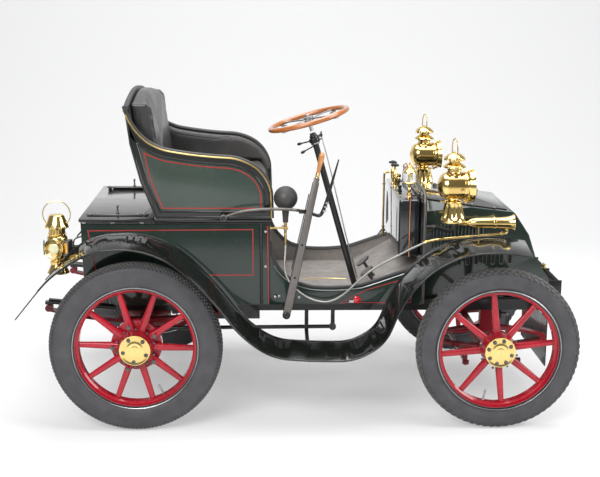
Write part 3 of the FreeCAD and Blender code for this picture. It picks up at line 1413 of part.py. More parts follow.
def horn_trumpet():
    """Straight feed pipe, one return loop and a flared bell pointing ahead."""
    mouth, bell, tube = S.horn_mouth_radius, S.horn_bell_length, S.horn_tube_radius
    x0, y0, z0 = trumpet_start
    far_x, back_x = x0 + bell * 1.62, x0 + bell * 0.8
    bell_z, back_y = z0 + mouth * 2.05, y0 + mouth * 1.7
    turn_x = back_x - mouth * 1.2
    loop = bent_bar([
        feed_start, (x0, y0, z0), (far_x, y0, z0 + mouth * 0.8),
        (far_x + mouth * 0.4, back_y, z0 + mouth * 1.2), (turn_x, back_y, bell_z - mouth * 0.4),
        (turn_x, y0 + tube, bell_z), (back_x + tube, y0 + tube, bell_z)], tube, mouth)
    flare = turned(back_x, y0 + tube, bell_z, [
        (0.0, 0.0), (tube * 1.5, 0.0), (mouth * 0.45, bell * 0.1), (mouth * 0.6, bell * 0.28),
        (mouth * 0.66, bell * 0.6), (mouth * 0.75, bell * 0.9), (mouth, bell), (mouth - tube / 3, bell),
        (mouth * 0.65, bell * 0.9), (mouth * 0.5, bell * 0.6), (0.0, bell * 0.3)],
        TO_FRONT)
    clamp_y = -S.dash_width / 2 - S.seat_gap
    clamp_z = (feed_start[2] + z0) / 2 - tube * 0.6
    clamp = cylinder(dash_x + S.dash_thickness / 2, clamp_y, clamp_z, tube * 0.8,
                     S.trumpet_side - S.dash_width / 2 - S.seat_gap, TO_RIGHT)
    return node(fuse(loop, flare, clamp), "horn_trumpet")


horn_trumpet()
HOSE_POINTS = (
    (-66.5, -402.0, 758.0), (-74.0, -414.0, 700.0), (-56.0, -426.0, 640.0), (-8.0, -431.0, 588.0),
    (60.0, -430.0, 548.0), (134.0, -429.0, 538.0), (206.0, -430.0, 583.0), (272.0, -431.0, 654.0),
    (350.0, -430.0, 712.0), (438.0, -429.0, 756.0))


def horn_hose():
    """The flexible hose, hanging between the bulb's tube and the trumpet's feed pipe."""
    start, end = vector(bulb_x, horn_y, S.horn_tube_foot), vector(*feed_start)
    last = end - (vector(*trumpet_start) - end).normalize() * plain(S.horn_bulb_radius)
    points = [start] + [vector(*p) for p in HOSE_POINTS] + [last, end]
    path = routed_wire(points, math.inf)
    section = Part.Wire(Part.makeCircle(plain(S.horn_hose_radius), start, points[1] - start))
    tube = path.makePipeShell([section], True, False)
    piece = doc.addObject("Part::Feature", "hose")
    piece.Shape = tube
    return node(piece, "horn_hose")


horn_hose()


def lubricator():
    """Sight-feed oiler on the dash tank with its glass cup and pipe, and two hand valves on their own pipe."""
    x, y = tank_x + S.tank_depth / 2, -S.tank_width / 2 + S.tank_depth / 2
    base = tank_low + S.tank_height
    r = S.tank_depth / 3
    cup_low, cup_high = base + r * 2.3, base + r * 3.6
    gap = S.seat_gap
    stand = turned(x, y, base + gap, [
        (0.0, 0.0), (r * 0.6, 0.0), (r * 0.25, r * 0.4), (r * 0.25, r * 2.0), (r, r * 2.1),
        (r, r * 2.3 - gap * 2), (0.0, r * 2.3 - gap * 2)])
    pipe = bent_bar([(x, y - r * 0.2, base + r), (x, y - r * 1.7, base + r), (x, y - r * 1.7, tank_low)],
                    r * 0.12, r * 0.5)
    cap = turned(x, y, cup_high + gap, [
        (0.0, 0.0), (r, 0.0), (r, r * 0.15), (r * 0.6, r * 0.5), (r * 0.25, r * 0.6), (r * 0.25, r * 1.4),
        (0.0, r * 1.4)])
    valves = []
    for share in (0.12, 0.42):
        valve_y = S.tank_width / 2 * share
        valves.append(turned(x - r, valve_y, base + gap, [
            (0.0, 0.0), (r * 0.35, 0.0), (r * 0.35, r * 0.3), (r * 0.16, r * 0.5), (r * 0.16, r * 1.5),
            (r * 0.3, r * 1.7), (r * 0.3, r * 2.3), (r * 0.14, r * 2.5), (r * 0.14, r * 2.9),
            (r * 0.75, r * 3.0), (r * 0.75, r * 3.25), (r * 0.2, r * 3.5), (0.0, r * 3.5)]))
    first, last = S.tank_width * 0.06, S.tank_width * 0.3
    valves.append(bent_bar([(x - r, first, base + r * 2.0), (x - r, last, base + r * 2.0),
                            (tank_x - r * 0.6, last, base + r * 2.0), (tank_x - r * 0.6, last, tank_low)],
                           r * 0.14, r * 0.5))
    node(fuse(stand, pipe, cap, *valves), "oiler")
    node(cylinder(x, y, cup_low, r * 0.9, cup_high - cup_low), "oiler_glass")


lubricator()


def under_gear():
    """Gearbox hung between the rails with its propeller shaft, and the starting handle in front."""
    x, low, inner = station(S.gearbox_place), rail_low - S.gearbox_drop, S.rail_gauge / 2 - S.rail_width / 2
    box = block(x, -S.gearbox_width / 2, low, S.gearbox_length, S.gearbox_width, rail_top - low - S.seat_gap)
    arms = [block(x + S.gearbox_length * share, -inner, rail_low, S.cross_member, inner * 2, S.cross_member)
            for share in (0.05, 0.75)]
    axle_z = S.rear_tyre_radius
    joint = rear_axle + S.differential_radius + S.stub_radius / 5
    shaft = rod((joint, 0.0, axle_z), (x + S.stub_radius, 0.0, axle_z + S.axle_tube_radius), S.stub_radius)
    node(fuse(box, shaft, *arms), "gearbox")
    r, z = S.track_rod_radius, S.starter_height
    start, low_z = starter_x + r * 2 + S.seat_gap, S.starter_height - S.crank_throw
    crank = bent_bar([(start, 0.0, z), (start + r * 4, 0.0, z), (start + r * 4, 0.0, low_z),
                      (start + r * 8, 0.0, low_z)], r, r * 1.5)
    grip = rod((start + r * 6, 0.0, low_z), (start + r * 12, 0.0, low_z), r * 1.6)
    node(fuse(crank, grip), "starting_handle")


under_gear()


def front_plate():
    """Blank board across the front, hung below the radiator's two brackets."""
    thick, low = S.front_plate_thickness, S.front_plate_clearance
    x, strap = radiator_x - thick, S.tow_eye_plate
    top = S.radiator_base - S.seat_gap
    parts = [block(x, -S.front_plate_width / 2, low, thick, S.front_plate_width, S.front_plate_height)]
    parts += [block(x, side * S.radiator_width / 3 - strap / 2, low, thick, strap, top - low)
              for side in (-1, 1)]
    node(fuse(*parts), "front_plate")


front_plate()


# Check and write every piece

doc.recompute()
for obj in doc.Objects:
    if {"Invalid", "Error"} & set(obj.State):
        raise RuntimeError(f"{obj.Name} ({obj.Label}) did not build: {obj.State}")
os.makedirs("parts", exist_ok=True)
for label, obj in nodes:
    shape = obj.Shape
    if shape.isNull() or not shape.isValid() or shape.Volume <= 0:
        raise RuntimeError(f"{label} has no valid solid")
    shape.exportStep(f"parts/{label}.step")
    box = shape.optimalBoundingBox(True, False)
    print(f"{label}: {len(shape.Solids)} solid, {shape.Volume / 1000:.1f} cm3, "
          f"x {box.XMin:.1f}..{box.XMax:.1f}, y {box.YMin:.1f}..{box.YMax:.1f}, "
          f"z {box.ZMin:.1f}..{box.ZMax:.1f}")
print(len(nodes), "pieces")
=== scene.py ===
# %% [markdown]
# A light two-seat runabout of the brass era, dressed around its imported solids.
# The solids already hold the frame, axles, wheels, body and lamps in their true places.
# Each cell below either finishes one of them or adds the pieces that the eye looks for:
# leather, tyre blocks, louvres, lamp chimneys, copper pipes and pinstripes.

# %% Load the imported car
import json
from math import atan2, cos, hypot, pi, radians, sin

import bmesh
import bpy
from bmesh.types import BMEdge, BMVert
from mathutils import Matrix, Vector

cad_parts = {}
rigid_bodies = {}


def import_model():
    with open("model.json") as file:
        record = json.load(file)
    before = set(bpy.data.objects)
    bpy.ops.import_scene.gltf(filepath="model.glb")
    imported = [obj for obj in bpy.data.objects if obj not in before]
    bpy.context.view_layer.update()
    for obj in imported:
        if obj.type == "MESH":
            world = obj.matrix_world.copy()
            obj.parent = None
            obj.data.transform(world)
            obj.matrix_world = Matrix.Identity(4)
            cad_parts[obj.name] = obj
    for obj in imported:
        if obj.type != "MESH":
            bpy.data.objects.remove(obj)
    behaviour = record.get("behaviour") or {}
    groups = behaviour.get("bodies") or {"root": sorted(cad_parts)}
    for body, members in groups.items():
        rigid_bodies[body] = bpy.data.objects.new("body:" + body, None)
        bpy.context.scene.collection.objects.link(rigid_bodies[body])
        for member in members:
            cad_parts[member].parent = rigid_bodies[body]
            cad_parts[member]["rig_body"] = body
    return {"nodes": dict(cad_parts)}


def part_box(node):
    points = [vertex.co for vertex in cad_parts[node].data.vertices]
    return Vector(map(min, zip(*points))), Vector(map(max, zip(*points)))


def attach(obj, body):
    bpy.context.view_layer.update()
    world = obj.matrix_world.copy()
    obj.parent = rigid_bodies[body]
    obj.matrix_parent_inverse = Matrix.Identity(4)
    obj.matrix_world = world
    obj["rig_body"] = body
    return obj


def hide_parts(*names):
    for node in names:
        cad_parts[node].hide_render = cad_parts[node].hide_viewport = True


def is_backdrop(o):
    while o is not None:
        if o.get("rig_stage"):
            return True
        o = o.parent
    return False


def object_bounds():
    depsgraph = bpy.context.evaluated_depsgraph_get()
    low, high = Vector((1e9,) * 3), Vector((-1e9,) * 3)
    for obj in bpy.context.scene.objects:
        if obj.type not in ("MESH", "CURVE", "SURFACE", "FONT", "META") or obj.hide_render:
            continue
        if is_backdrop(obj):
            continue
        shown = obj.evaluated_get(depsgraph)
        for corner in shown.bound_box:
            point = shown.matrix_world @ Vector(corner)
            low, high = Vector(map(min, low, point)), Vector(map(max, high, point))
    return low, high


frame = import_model()
solid_box = [list(corner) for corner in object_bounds()]
nodes = frame["nodes"]

# %% [markdown]
# The camera stands to the right of the car, a little behind its middle and a little above the seat.
# Its place, its tilt and its lens were worked out from both near and both far wheels,
# so that the car falls on the picture where the real one does.

# %% Camera
def placed(name, data):
    """A new object that shows this data, in the scene."""
    made = bpy.data.objects.new(name, data)
    bpy.context.scene.collection.objects.link(made)
    return made


CAMERA_PLACE = Vector((-0.183, -5.3974, 1.9364))
CAMERA_YAW, CAMERA_DOWN, CAMERA_ROLL = 0.0363, 0.2183, 0.0077
ahead = Vector((sin(CAMERA_YAW) * cos(CAMERA_DOWN), cos(CAMERA_YAW) * cos(CAMERA_DOWN),
                -sin(CAMERA_DOWN)))
level_right = Vector((cos(CAMERA_YAW), -sin(CAMERA_YAW), 0.0))
level_up = level_right.cross(ahead)
picture_right = cos(CAMERA_ROLL) * level_right + sin(CAMERA_ROLL) * level_up
picture_up = cos(CAMERA_ROLL) * level_up - sin(CAMERA_ROLL) * level_right
camera = placed("camera", bpy.data.cameras.new("camera"))
camera.data.lens, camera.data.sensor_width = 69.0, 36.0
camera_turn = Matrix((picture_right, picture_up, -ahead)).transposed().to_4x4()
camera.matrix_world = Matrix.Translation(CAMERA_PLACE) @ camera_turn
bpy.context.scene.camera = camera
bpy.context.scene.view_settings.view_transform = "Standard"
print("camera at", tuple(round(v, 3) for v in CAMERA_PLACE))

# %% [markdown]
# Shader sums read best as sums. A Socket wraps one output of a node, and Python's own
# operators on it add Math nodes. A Finish holds one material on the standard surface shader:
# what is the same all over is typed on the shader, and only what changes is linked.

# %% Sockets and finishes
class Socket:
    def __init__(self, finish, out):
        self.finish, self.out = finish, out

    def __add__(self, other):
        return self.finish.maths("ADD", self, other)

    def __sub__(self, other):
        return self.finish.maths("SUBTRACT", self, other)

    def __mul__(self, other):
        return self.finish.maths("MULTIPLY", self, other)

    def __gt__(self, other):
        return self.finish.maths("GREATER_THAN", self, other)

    __radd__, __rmul__ = __add__, __mul__


class Finish:
    def __init__(self, name, color, roughness, **shader):
        self.material = bpy.data.materials.new(name)
        self.material.use_nodes = True
        self.tree = self.material.node_tree
        self.shader = self.tree.nodes["Principled BSDF"]
        self.shader.inputs["Base Color"].default_value = (*color, 1.0)
        self.shader.inputs["Roughness"].default_value = roughness
        for socket, value in shader.items():
            self.shader.inputs[socket.replace("_", " ")].default_value = value
        self.place = self.node("ShaderNodeTexCoord", output="Object")

    def node(self, kind, settings=(), inputs=(), output=0):
        made = self.tree.nodes.new(kind)
        for key, value in dict(settings).items():
            setattr(made, key, value)
        for key, value in dict(inputs).items():
            if isinstance(value, Socket):
                self.tree.links.new(value.out, made.inputs[key])
            else:
                made.inputs[key].default_value = value
        return Socket(self, made.outputs[output])

    def maths(self, operation, *values):
        return self.node("ShaderNodeMath", {"operation": operation}, enumerate(values))

    def axes(self):
        parts = self.node("ShaderNodeSeparateXYZ", (), {0: self.place}).out.node
        return [Socket(self, parts.outputs[i]) for i in range(3)]

    def scaled(self, factors):
        return self.node("ShaderNodeVectorMath", {"operation": "MULTIPLY"},
                         {0: self.place, 1: factors})

    def cloud(self, scale, detail=3.0, roughness=0.5, place=None):
        return self.node("ShaderNodeTexNoise", (),
                         {"Vector": place or self.place, "Scale": scale, "Detail": detail,
                          "Roughness": roughness})

    def cells(self, scale, feature="F1"):
        return self.node("ShaderNodeTexVoronoi", {"feature": feature},
                         {"Vector": self.place, "Scale": scale}, "Distance")

    def band(self, value, low, high, to_low=0.0, to_high=1.0):
        return self.node("ShaderNodeMapRange", {"clamp": True},
                         {"Value": value, "From Min": low, "From Max": high, "To Min": to_low,
                          "To Max": to_high})

    def mixed(self, factor, first, second):
        def full(color):
            return color if isinstance(color, Socket) else (*color, 1.0)
        return self.node("ShaderNodeMix", {"data_type": "RGBA"},
                         {"Factor": factor, 6: full(first), 7: full(second)}, 2)

    def wear(self):
        return self.node("ShaderNodeNewGeometry", output="Pointiness")

    def from_axle(self, centre):
        """The distance from a wheel's axle, whose centre is an (x, z) pair."""
        x, y, z = self.axes()
        return self.maths("SQRT", (x - centre[0]) * (x - centre[0])
                          + (z - centre[1]) * (z - centre[1]))

    def feed(self, socket, value):
        self.tree.links.new(value.out, self.shader.inputs[socket])
        return self

    def bump(self, height, strength, distance):
        bumps = {"Height": height, "Strength": strength, "Distance": distance}
        return self.feed("Normal", self.node("ShaderNodeBump", (), bumps))

print("helpers ready")

# %% [markdown]
# Coach paint of the time is many rubbed coats under varnish: a deep colour with a clear gloss.
# So each paint has a smooth coat over a slightly rougher colour, faint cloudiness from hand
# rubbing, and a little dust that dulls it in patches.

# %% Coach paints
def coach_paint(name, color, shade, gloss=0.16, coat=0.8):
    """A glossy paint that drifts from its colour to a shade, with patches of dust."""
    paint = Finish(name, color, gloss, Coat_Weight=coat, Coat_Roughness=0.03,
                   Specular_IOR_Level=0.2)
    drift = paint.cloud(3.0, 4.0)
    paint.feed("Base Color", paint.mixed(paint.band(drift, 0.35, 0.7), color, shade))
    dust = paint.cloud(14.0, 5.0, 0.6)
    paint.feed("Roughness", paint.band(dust, 0.4, 0.75, gloss, gloss + 0.16))
    paint.bump(paint.cloud(5.0, 2.0), 0.05, 0.002)
    return paint.material


body_green = coach_paint("coach_green", (0.012, 0.022, 0.017), (0.016, 0.028, 0.022))
panel_green = coach_paint("panel_green", (0.034, 0.050, 0.040), (0.042, 0.060, 0.047), 0.2)
wing_black = coach_paint("wing_black", (0.006, 0.007, 0.006), (0.009, 0.010, 0.009), 0.12)
frame_black = coach_paint("frame_black", (0.012, 0.012, 0.013), (0.02, 0.019, 0.018), 0.28, 0.4)
stripe_red = coach_paint("stripe_red", (0.36, 0.02, 0.02), (0.30, 0.018, 0.018), 0.3, 0.5)
print("finishes so far:", len(bpy.data.materials))

# %% [markdown]
# Metals differ in how they are worked. Spun brass is polished but never even: fine rings
# of the lathe, tarnish in the corners and warmer patches. Bare steel is drawn and greasy,
# cast iron is pitted, and copper pipe is dark where the heat reaches it.

# %% Metals
def worked_metal(name, bright, dull, roughness, spread=0.12, grain=220.0, depth=0.08):
    """A metal with tarnish in patches and in its corners, and a fine grain."""
    metal = Finish(name, bright, roughness, Metallic=1.0)
    patches = metal.cloud(9.0, 5.0, 0.6)
    corners = metal.band(metal.wear(), 0.44, 0.5, 1.0, 0.0)
    tarnish = metal.maths("MAXIMUM", metal.band(patches, 0.5, 0.75, 0.0, 0.7), corners * 0.6)
    metal.feed("Base Color", metal.mixed(tarnish, bright, dull))
    metal.feed("Roughness", metal.band(patches, 0.3, 0.8, roughness, roughness + spread))
    metal.bump(metal.cloud(grain, 2.0), depth, 0.0006)
    return metal.material


brass = worked_metal("polished_brass", (0.88, 0.66, 0.26), (0.55, 0.36, 0.10), 0.12)
old_brass = worked_metal("old_brass", (0.62, 0.45, 0.17), (0.30, 0.19, 0.06), 0.24)
steel = worked_metal("drawn_steel", (0.46, 0.46, 0.47), (0.20, 0.19, 0.18), 0.28, 0.2)
dark_steel = worked_metal("dark_steel", (0.16, 0.155, 0.15), (0.06, 0.055, 0.05), 0.38, 0.2)
copper = worked_metal("copper_pipe", (0.68, 0.32, 0.16), (0.24, 0.12, 0.07), 0.22)
cast_iron = worked_metal("cast_iron", (0.10, 0.10, 0.10), (0.05, 0.048, 0.045), 0.5, 0.2, 420.0,
                         0.4)
print("finishes so far:", len(bpy.data.materials))

# %% [markdown]
# The studio is a white paper sweep: floor and back wall are one sheet with a wide bend.
# It must look white without flooding the car, so its paper is an ordinary pale surface for
# light, and only what the camera, a mirror or a lens sees of it is lifted to white.

# %% Paper sweep
def paper_finish():
    paper = Finish("white_paper", (0.80, 0.80, 0.80), 0.85)
    rays = paper.node("ShaderNodeLightPath").out.node.outputs
    camera_ray, glossy_ray = (Socket(paper, rays[name])
                              for name in ("Is Camera Ray", "Is Glossy Ray"))
    glow = paper.node("ShaderNodeEmission", (), {"Color": (0.93, 0.93, 0.93, 1.0), "Strength": 1.0})
    seen = paper.maths("MAXIMUM", camera_ray * 0.42, glossy_ray * 0.30)
    plain = Socket(paper, paper.shader.outputs[0])
    mix = paper.node("ShaderNodeMixShader", (), {0: seen, 1: plain, 2: glow})
    paper.tree.links.new(mix.out, paper.tree.nodes["Material Output"].inputs["Surface"])
    return paper.material


def verts_in(geom):
    return [v for v in geom if isinstance(v, BMVert)]


def edges_in(geom):
    return [e for e in geom if isinstance(e, BMEdge)]


def outward(bm):
    """The same bmesh with all its faces turned outwards."""
    bmesh.ops.recalc_face_normals(bm, faces=bm.faces)
    return bm


def as_mesh(name, bm):
    """A mesh with what the bmesh holds, which is freed."""
    mesh = bpy.data.meshes.new(name)
    bm.to_mesh(mesh)
    bm.free()
    return mesh


def paper_sweep(width=30.0, front=-16.0, bend_start=3.2, bend_radius=3.0, height=12.0):
    bm = bmesh.new()
    near = [bm.verts.new((side * width / 2, front, 0.0)) for side in (-1, 1)]
    edge = bm.edges.new(near)
    far = bmesh.ops.extrude_edge_only(bm, edges=[edge])["geom"]
    bmesh.ops.translate(bm, verts=verts_in(far), vec=(0.0, bend_start - front, 0.0))
    turned = bmesh.ops.spin(bm, geom=edges_in(far), cent=(0.0, bend_start, bend_radius),
                            axis=(1.0, 0.0, 0.0), angle=radians(90), steps=24,
                            use_merge=False)["geom_last"]
    top = bmesh.ops.extrude_edge_only(bm, edges=edges_in(turned))["geom"]
    bmesh.ops.translate(bm, verts=verts_in(top), vec=(0.0, 0.0, height))
    mesh = as_mesh("paper_sweep", outward(bm))
    mesh.shade_smooth()
    mesh.materials.append(paper_finish())
    sweep = placed("paper_sweep", mesh)
    sweep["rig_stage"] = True
    return sweep


print("sweep faces:", len(paper_sweep().data.polygons))

# %% [markdown]
# A studio of the day lights a car from large soft windows. Three wide lamps do the same:
# one high on the camera's side, one overhead and one from the front of the car,
# over a dim even sky that fills the shadows.

# %% Soft lights
def soft_light(name, place, target, size, watts):
    lamp = bpy.data.lights.new(name, "AREA")
    lamp.shape, lamp.size, lamp.size_y, lamp.energy = "RECTANGLE", size[0], size[1], watts
    turn = (Vector(target) - Vector(place)).to_track_quat("-Z", "Y").to_matrix().to_4x4()
    placed(name, lamp).matrix_world = Matrix.Translation(place) @ turn


soft_light("window_right", (-2.6, -5.6, 4.6), (0.0, 0.0, 0.5), (4.0, 3.0), 420.0)
soft_light("window_top", (0.2, 0.2, 5.2), (0.0, 0.0, 0.4), (5.0, 4.0), 320.0)
soft_light("window_front", (5.6, -2.4, 3.4), (0.4, 0.0, 0.5), (3.0, 3.0), 260.0)
sky = bpy.data.worlds.new("even_sky")
sky.use_nodes = True
sky_shader = sky.node_tree.nodes["Background"].inputs
sky_shader["Color"].default_value = (0.95, 0.97, 1.0, 1.0)
sky_shader["Strength"].default_value = 0.22
bpy.context.scene.world = sky

# %% [markdown]
# Most of the pieces are turned, bent, sawn or folded, so a handful of helpers cover them:
# a lathe that spins a profile, a bar bent along a line, a block with eased edges,
# a plate cut to an outline, and a flat band laid along a line. Each returns a small bmesh,
# and joined() collects several into one before it becomes an object.

# %% Mesh helpers
X, Y, Z = Vector((1, 0, 0)), Vector((0, 1, 0)), Vector((0, 0, 1))
MERGE = 1e-6


def aimed(place, way=Z, roll=0.0):
    """A frame at a place whose own Z points this way."""
    turn = Vector(way).to_track_quat("Z", "Y").to_matrix().to_4x4()
    return Matrix.Translation(place) @ turn @ Matrix.Rotation(roll, 4, "Z")


def shifted(base, *shifts):
    """Places at these shifts from a base."""
    return [base + Vector(shift) for shift in shifts]


def joined(*parts):
    """One bmesh from several. A pair is a bmesh and the number of its finish."""
    whole = bmesh.new()
    for part in parts:
        part, number = part if isinstance(part, tuple) else (part, 0)
        for face in part.faces:
            face.material_index = max(face.material_index, number)
        shell = as_mesh("part", part)
        whole.from_mesh(shell)
        bpy.data.meshes.remove(shell)
    return whole


def piece(name, bm, finishes, smooth=35.0, stands_for=(), body="car"):
    """A finished object: shaded, given its finish, and riding on its body."""
    mesh = as_mesh(name, joined(*bm) if isinstance(bm, list) else bm)
    for finish in finishes if isinstance(finishes, (list, tuple)) else [finishes]:
        mesh.materials.append(finish)
    mesh.shade_smooth()
    mesh.set_sharp_from_angle(angle=radians(smooth))
    made = placed(name, mesh)
    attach(made, body)
    if stands_for:
        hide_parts(*stands_for)
    return made


def lathe(profile, place, way, steps):
    """Spins (radius, height) pairs about an axis. Points on the axis close into poles."""
    bm = bmesh.new()
    row = [bm.verts.new((r, 0.0, h)) for r, h in profile]
    line = [bm.edges.new(pair) for pair in zip(row, row[1:])]
    bmesh.ops.spin(bm, geom=row + line, cent=(0, 0, 0), axis=(0, 0, 1), angle=2 * pi, steps=steps,
                   use_merge=True)
    bmesh.ops.remove_doubles(bm, verts=bm.verts, dist=MERGE)
    bmesh.ops.transform(outward(bm), matrix=aimed(place, way), verts=bm.verts)
    return bm


def evaluated(made):
    """The mesh that an object's curve or modifiers make."""
    bpy.context.view_layer.update()
    graph = bpy.context.evaluated_depsgraph_get()
    return bpy.data.meshes.new_from_object(made.evaluated_get(graph))


def smooth_curve(points, order, closed, detail, depth=0.0, sides=6, radii=None):
    """The mesh of a NURBS line through a cage of points, round where it has a depth."""
    curve = bpy.data.curves.new("line", "CURVE")
    curve.dimensions, curve.resolution_u = "3D", detail
    curve.bevel_depth, curve.bevel_resolution = depth, sides // 4
    curve.use_fill_caps = not closed
    spline = curve.splines.new("NURBS")
    spline.points.add(len(points) - 1)
    for i, (point, co) in enumerate(zip(spline.points, points)):
        point.co = (*co, 1.0)
        point.radius = radii[i] if radii else 1.0
    spline.order_u, spline.use_endpoint_u, spline.use_cyclic_u = order, not closed, closed
    holder = placed("line", curve)
    mesh = evaluated(holder)
    bpy.data.objects.remove(holder)
    bpy.data.curves.remove(curve)
    return mesh


def bar(points, radius, order=3, closed=False, detail=8, sides=8, radii=None):
    """A round bar or pipe that bends along a line."""
    mesh = smooth_curve(points, order, closed, detail, radius, sides, radii)
    bm = bmesh.new()
    bm.from_mesh(mesh)
    bpy.data.meshes.remove(mesh)
    bmesh.ops.remove_doubles(bm, verts=bm.verts, dist=MERGE)
    return outward(bm)


def followed(points, detail):
    """The points that a smooth line passes, in order."""
    mesh = smooth_curve(points, 3, False, detail)
    line = [v.co.copy() for v in mesh.vertices]
    bpy.data.meshes.remove(mesh)
    return line


def bevelled(bm, edges, width, segments=2, clamp=False):
    """Rounds these edges off, and returns the bmesh."""
    bmesh.ops.bevel(bm, geom=edges, offset=width, segments=segments, profile=0.5, affect="EDGES",
                    clamp_overlap=clamp, material=-1)
    return bm


def sharp_edges(bm, degrees):
    return [e for e in bm.edges if e.is_manifold and e.calc_face_angle(0.0) > radians(degrees)]


def block(low, high, ease, segments=2):
    """A rectangular block between two corners, its edges eased."""
    bm = bmesh.new()
    bmesh.ops.create_cube(bm, size=1.0)
    low, high = Vector(low), Vector(high)
    bmesh.ops.scale(bm, vec=high - low, verts=bm.verts)
    bmesh.ops.translate(bm, vec=(low + high) / 2, verts=bm.verts)
    return bevelled(bm, bm.edges[:], ease, segments) if ease else bm


def plate(outline, thick, ease):
    """A plate cut to an outline of points in one plane, thickened across that plane."""
    bm = bmesh.new()
    face = bm.faces.new([bm.verts.new(p) for p in outline])
    face.normal_update()
    step = face.normal * thick
    grown = bmesh.ops.extrude_face_region(bm, geom=[face])["geom"]
    bmesh.ops.translate(bm, vec=step, verts=verts_in(grown))
    outward(bm)
    return bevelled(bm, sharp_edges(bm, 30), ease) if ease else bm


def band(line, normal, width, rise, closed=False):
    """A thin flat band of paint or moulding laid along a line on a face with this normal."""
    normal = Vector(normal)
    bm = bmesh.new()
    count, rows = len(line), []
    for i, here in enumerate(line):
        before = line[i - 1] if closed or i else here
        after = line[(i + 1) % count] if closed or i < count - 1 else here
        ahead, behind = (Vector(after) - Vector(here)), (Vector(here) - Vector(before))
        ways = [w.normalized() for w in (ahead, behind) if w.length > 1e-9]
        across = [normal.cross(w) for w in ways]
        middle = sum(across, Vector()).normalized()
        reach = width / 2 / max(0.4, middle.dot(across[0]))
        rows.append([bm.verts.new(Vector(here) + middle * reach * side + normal * rise)
                     for side in (-1, 1)])
    pairs = list(zip(rows, rows[1:])) + ([(rows[-1], rows[0])] if closed else [])
    for a, b in pairs:
        bm.faces.new((a[0], b[0], b[1], a[1]))
    skin = bmesh.ops.extrude_face_region(outward(bm), geom=bm.faces[:])["geom"]
    bmesh.ops.translate(bm, vec=normal * -rise, verts=verts_in(skin))
    return outward(bm)


def ribbon(points, half, thick):
    """A strap of flat strip bent along a line, so far to either side along Y."""
    bm = bmesh.new()
    rows = [[bm.verts.new(p + Y * way) for way in (-half, half)] for p in followed(points, 6)]
    for a, b in zip(rows, rows[1:]):
        bm.faces.new((a[0], a[1], b[1], b[0]))
    bmesh.ops.solidify(outward(bm), geom=bm.faces[:], thickness=thick)
    return bm


def hexagon(place, way, size, height, roll=0.0):
    """A nut or bolt head with chamfered corners, on a round washer."""
    head = bmesh.new()
    bmesh.ops.create_cone(head, cap_ends=True, segments=6, radius1=size, radius2=size, depth=height)
    bmesh.ops.translate(head, vec=(0, 0, height / 2), verts=head.verts)
    bevelled(head, [e for e in head.edges if e.verts[0].co.z > 0 < e.verts[1].co.z], size * 0.14, 1)
    bmesh.ops.transform(head, matrix=aimed(place, way, roll), verts=head.verts)
    washer = lathe([(0, 0), (size * 1.25, 0), (size * 1.25, height * 0.2), (0, height * 0.2)],
                   place, way, 16)
    return joined(head, washer)


def stud(place, way, radius, height, steps=12):
    """A domed rivet, or the round head of a screw."""
    dome = [(0, 0), (1, 0), (1, 0.3), (0.8, 0.75), (0.45, 0.95), (0, 1)]
    return lathe([(radius * out, height * up) for out, up in dome], place, way, steps)


def cast_copy(node):
    """A loose copy of a solid's triangles, merged and with its flat faces whole again."""
    bm = bmesh.new()
    bm.from_mesh(nodes[node].data)
    bmesh.ops.remove_doubles(bm, verts=bm.verts, dist=1e-5)
    bmesh.ops.dissolve_limit(bm, angle_limit=radians(0.8), verts=bm.verts[:], edges=bm.edges[:])
    return bm


def painted(node, finish):
    """A solid whose shape is right keeps it, and takes a better finish."""
    solid = nodes[node]
    solid.data.materials.clear()
    solid.data.materials.append(finish)
    return solid


print("mesh helpers ready")

# %% [markdown]
# The horn's hose is a flexible metal tube of wound strip, about 10 mm thick and 0.89 m long.
# It hangs from the bulb's tube in front of the footwell and rises to the trumpet. Its line is one
# smooth curve, and its ribs are rings that follow that line, because light breaks on real ribs.

# %% Horn hose
HOSE_ROUTE = [(-0.0665, -0.402, 0.800), (-0.0665, -0.402, 0.758), (-0.074, -0.414, 0.700),
              (-0.056, -0.426, 0.640), (-0.008, -0.431, 0.588), (0.060, -0.430, 0.548),
              (0.134, -0.429, 0.538), (0.206, -0.430, 0.583), (0.272, -0.431, 0.654),
              (0.350, -0.430, 0.712), (0.438, -0.429, 0.756), (0.502, -0.421, 0.7895),
              (0.5505, -0.421, 0.8108)]
HOSE_RADIUS, RIB_PITCH, RIB_DEPTH = 0.005, 0.0036, 0.0007
hose_metal = worked_metal("wound_strip", (0.42, 0.41, 0.39), (0.20, 0.19, 0.17), 0.34, 0.2)


def hose(line):
    """A ribbed tube along a line of points, and its length."""
    run = [0.0]
    for a, b in zip(line, line[1:]):
        run.append(run[-1] + (b - a).length)
    count = 4 * round(run[-1] / RIB_PITCH)
    bm, rings, side, place = bmesh.new(), [], Y.copy(), 0
    for i in range(count + 1):
        far = run[-1] * i / count
        while place < len(line) - 2 and run[place + 1] < far:
            place += 1
        share = (far - run[place]) / (run[place + 1] - run[place])
        ahead = (line[place + 1] - line[place]).normalized()
        side = (side - ahead * side.dot(ahead)).normalized()
        turn = Matrix((side, ahead.cross(side), ahead)).transposed().to_4x4()
        radius = HOSE_RADIUS - (RIB_DEPTH if i % 4 in (2, 3) else 0.0)
        here = Matrix.Translation(line[place].lerp(line[place + 1], share))
        ring = bmesh.ops.create_circle(bm, segments=12, radius=radius, matrix=here @ turn)
        rings.append(ring["verts"])
    for a, b in zip(rings, rings[1:]):
        for k in range(12):
            bm.faces.new((a[k], a[(k + 1) % 12], b[(k + 1) % 12], b[k]))
    for ring in (rings[0], rings[-1]):
        bm.faces.new(ring)
    return outward(bm), run[-1]


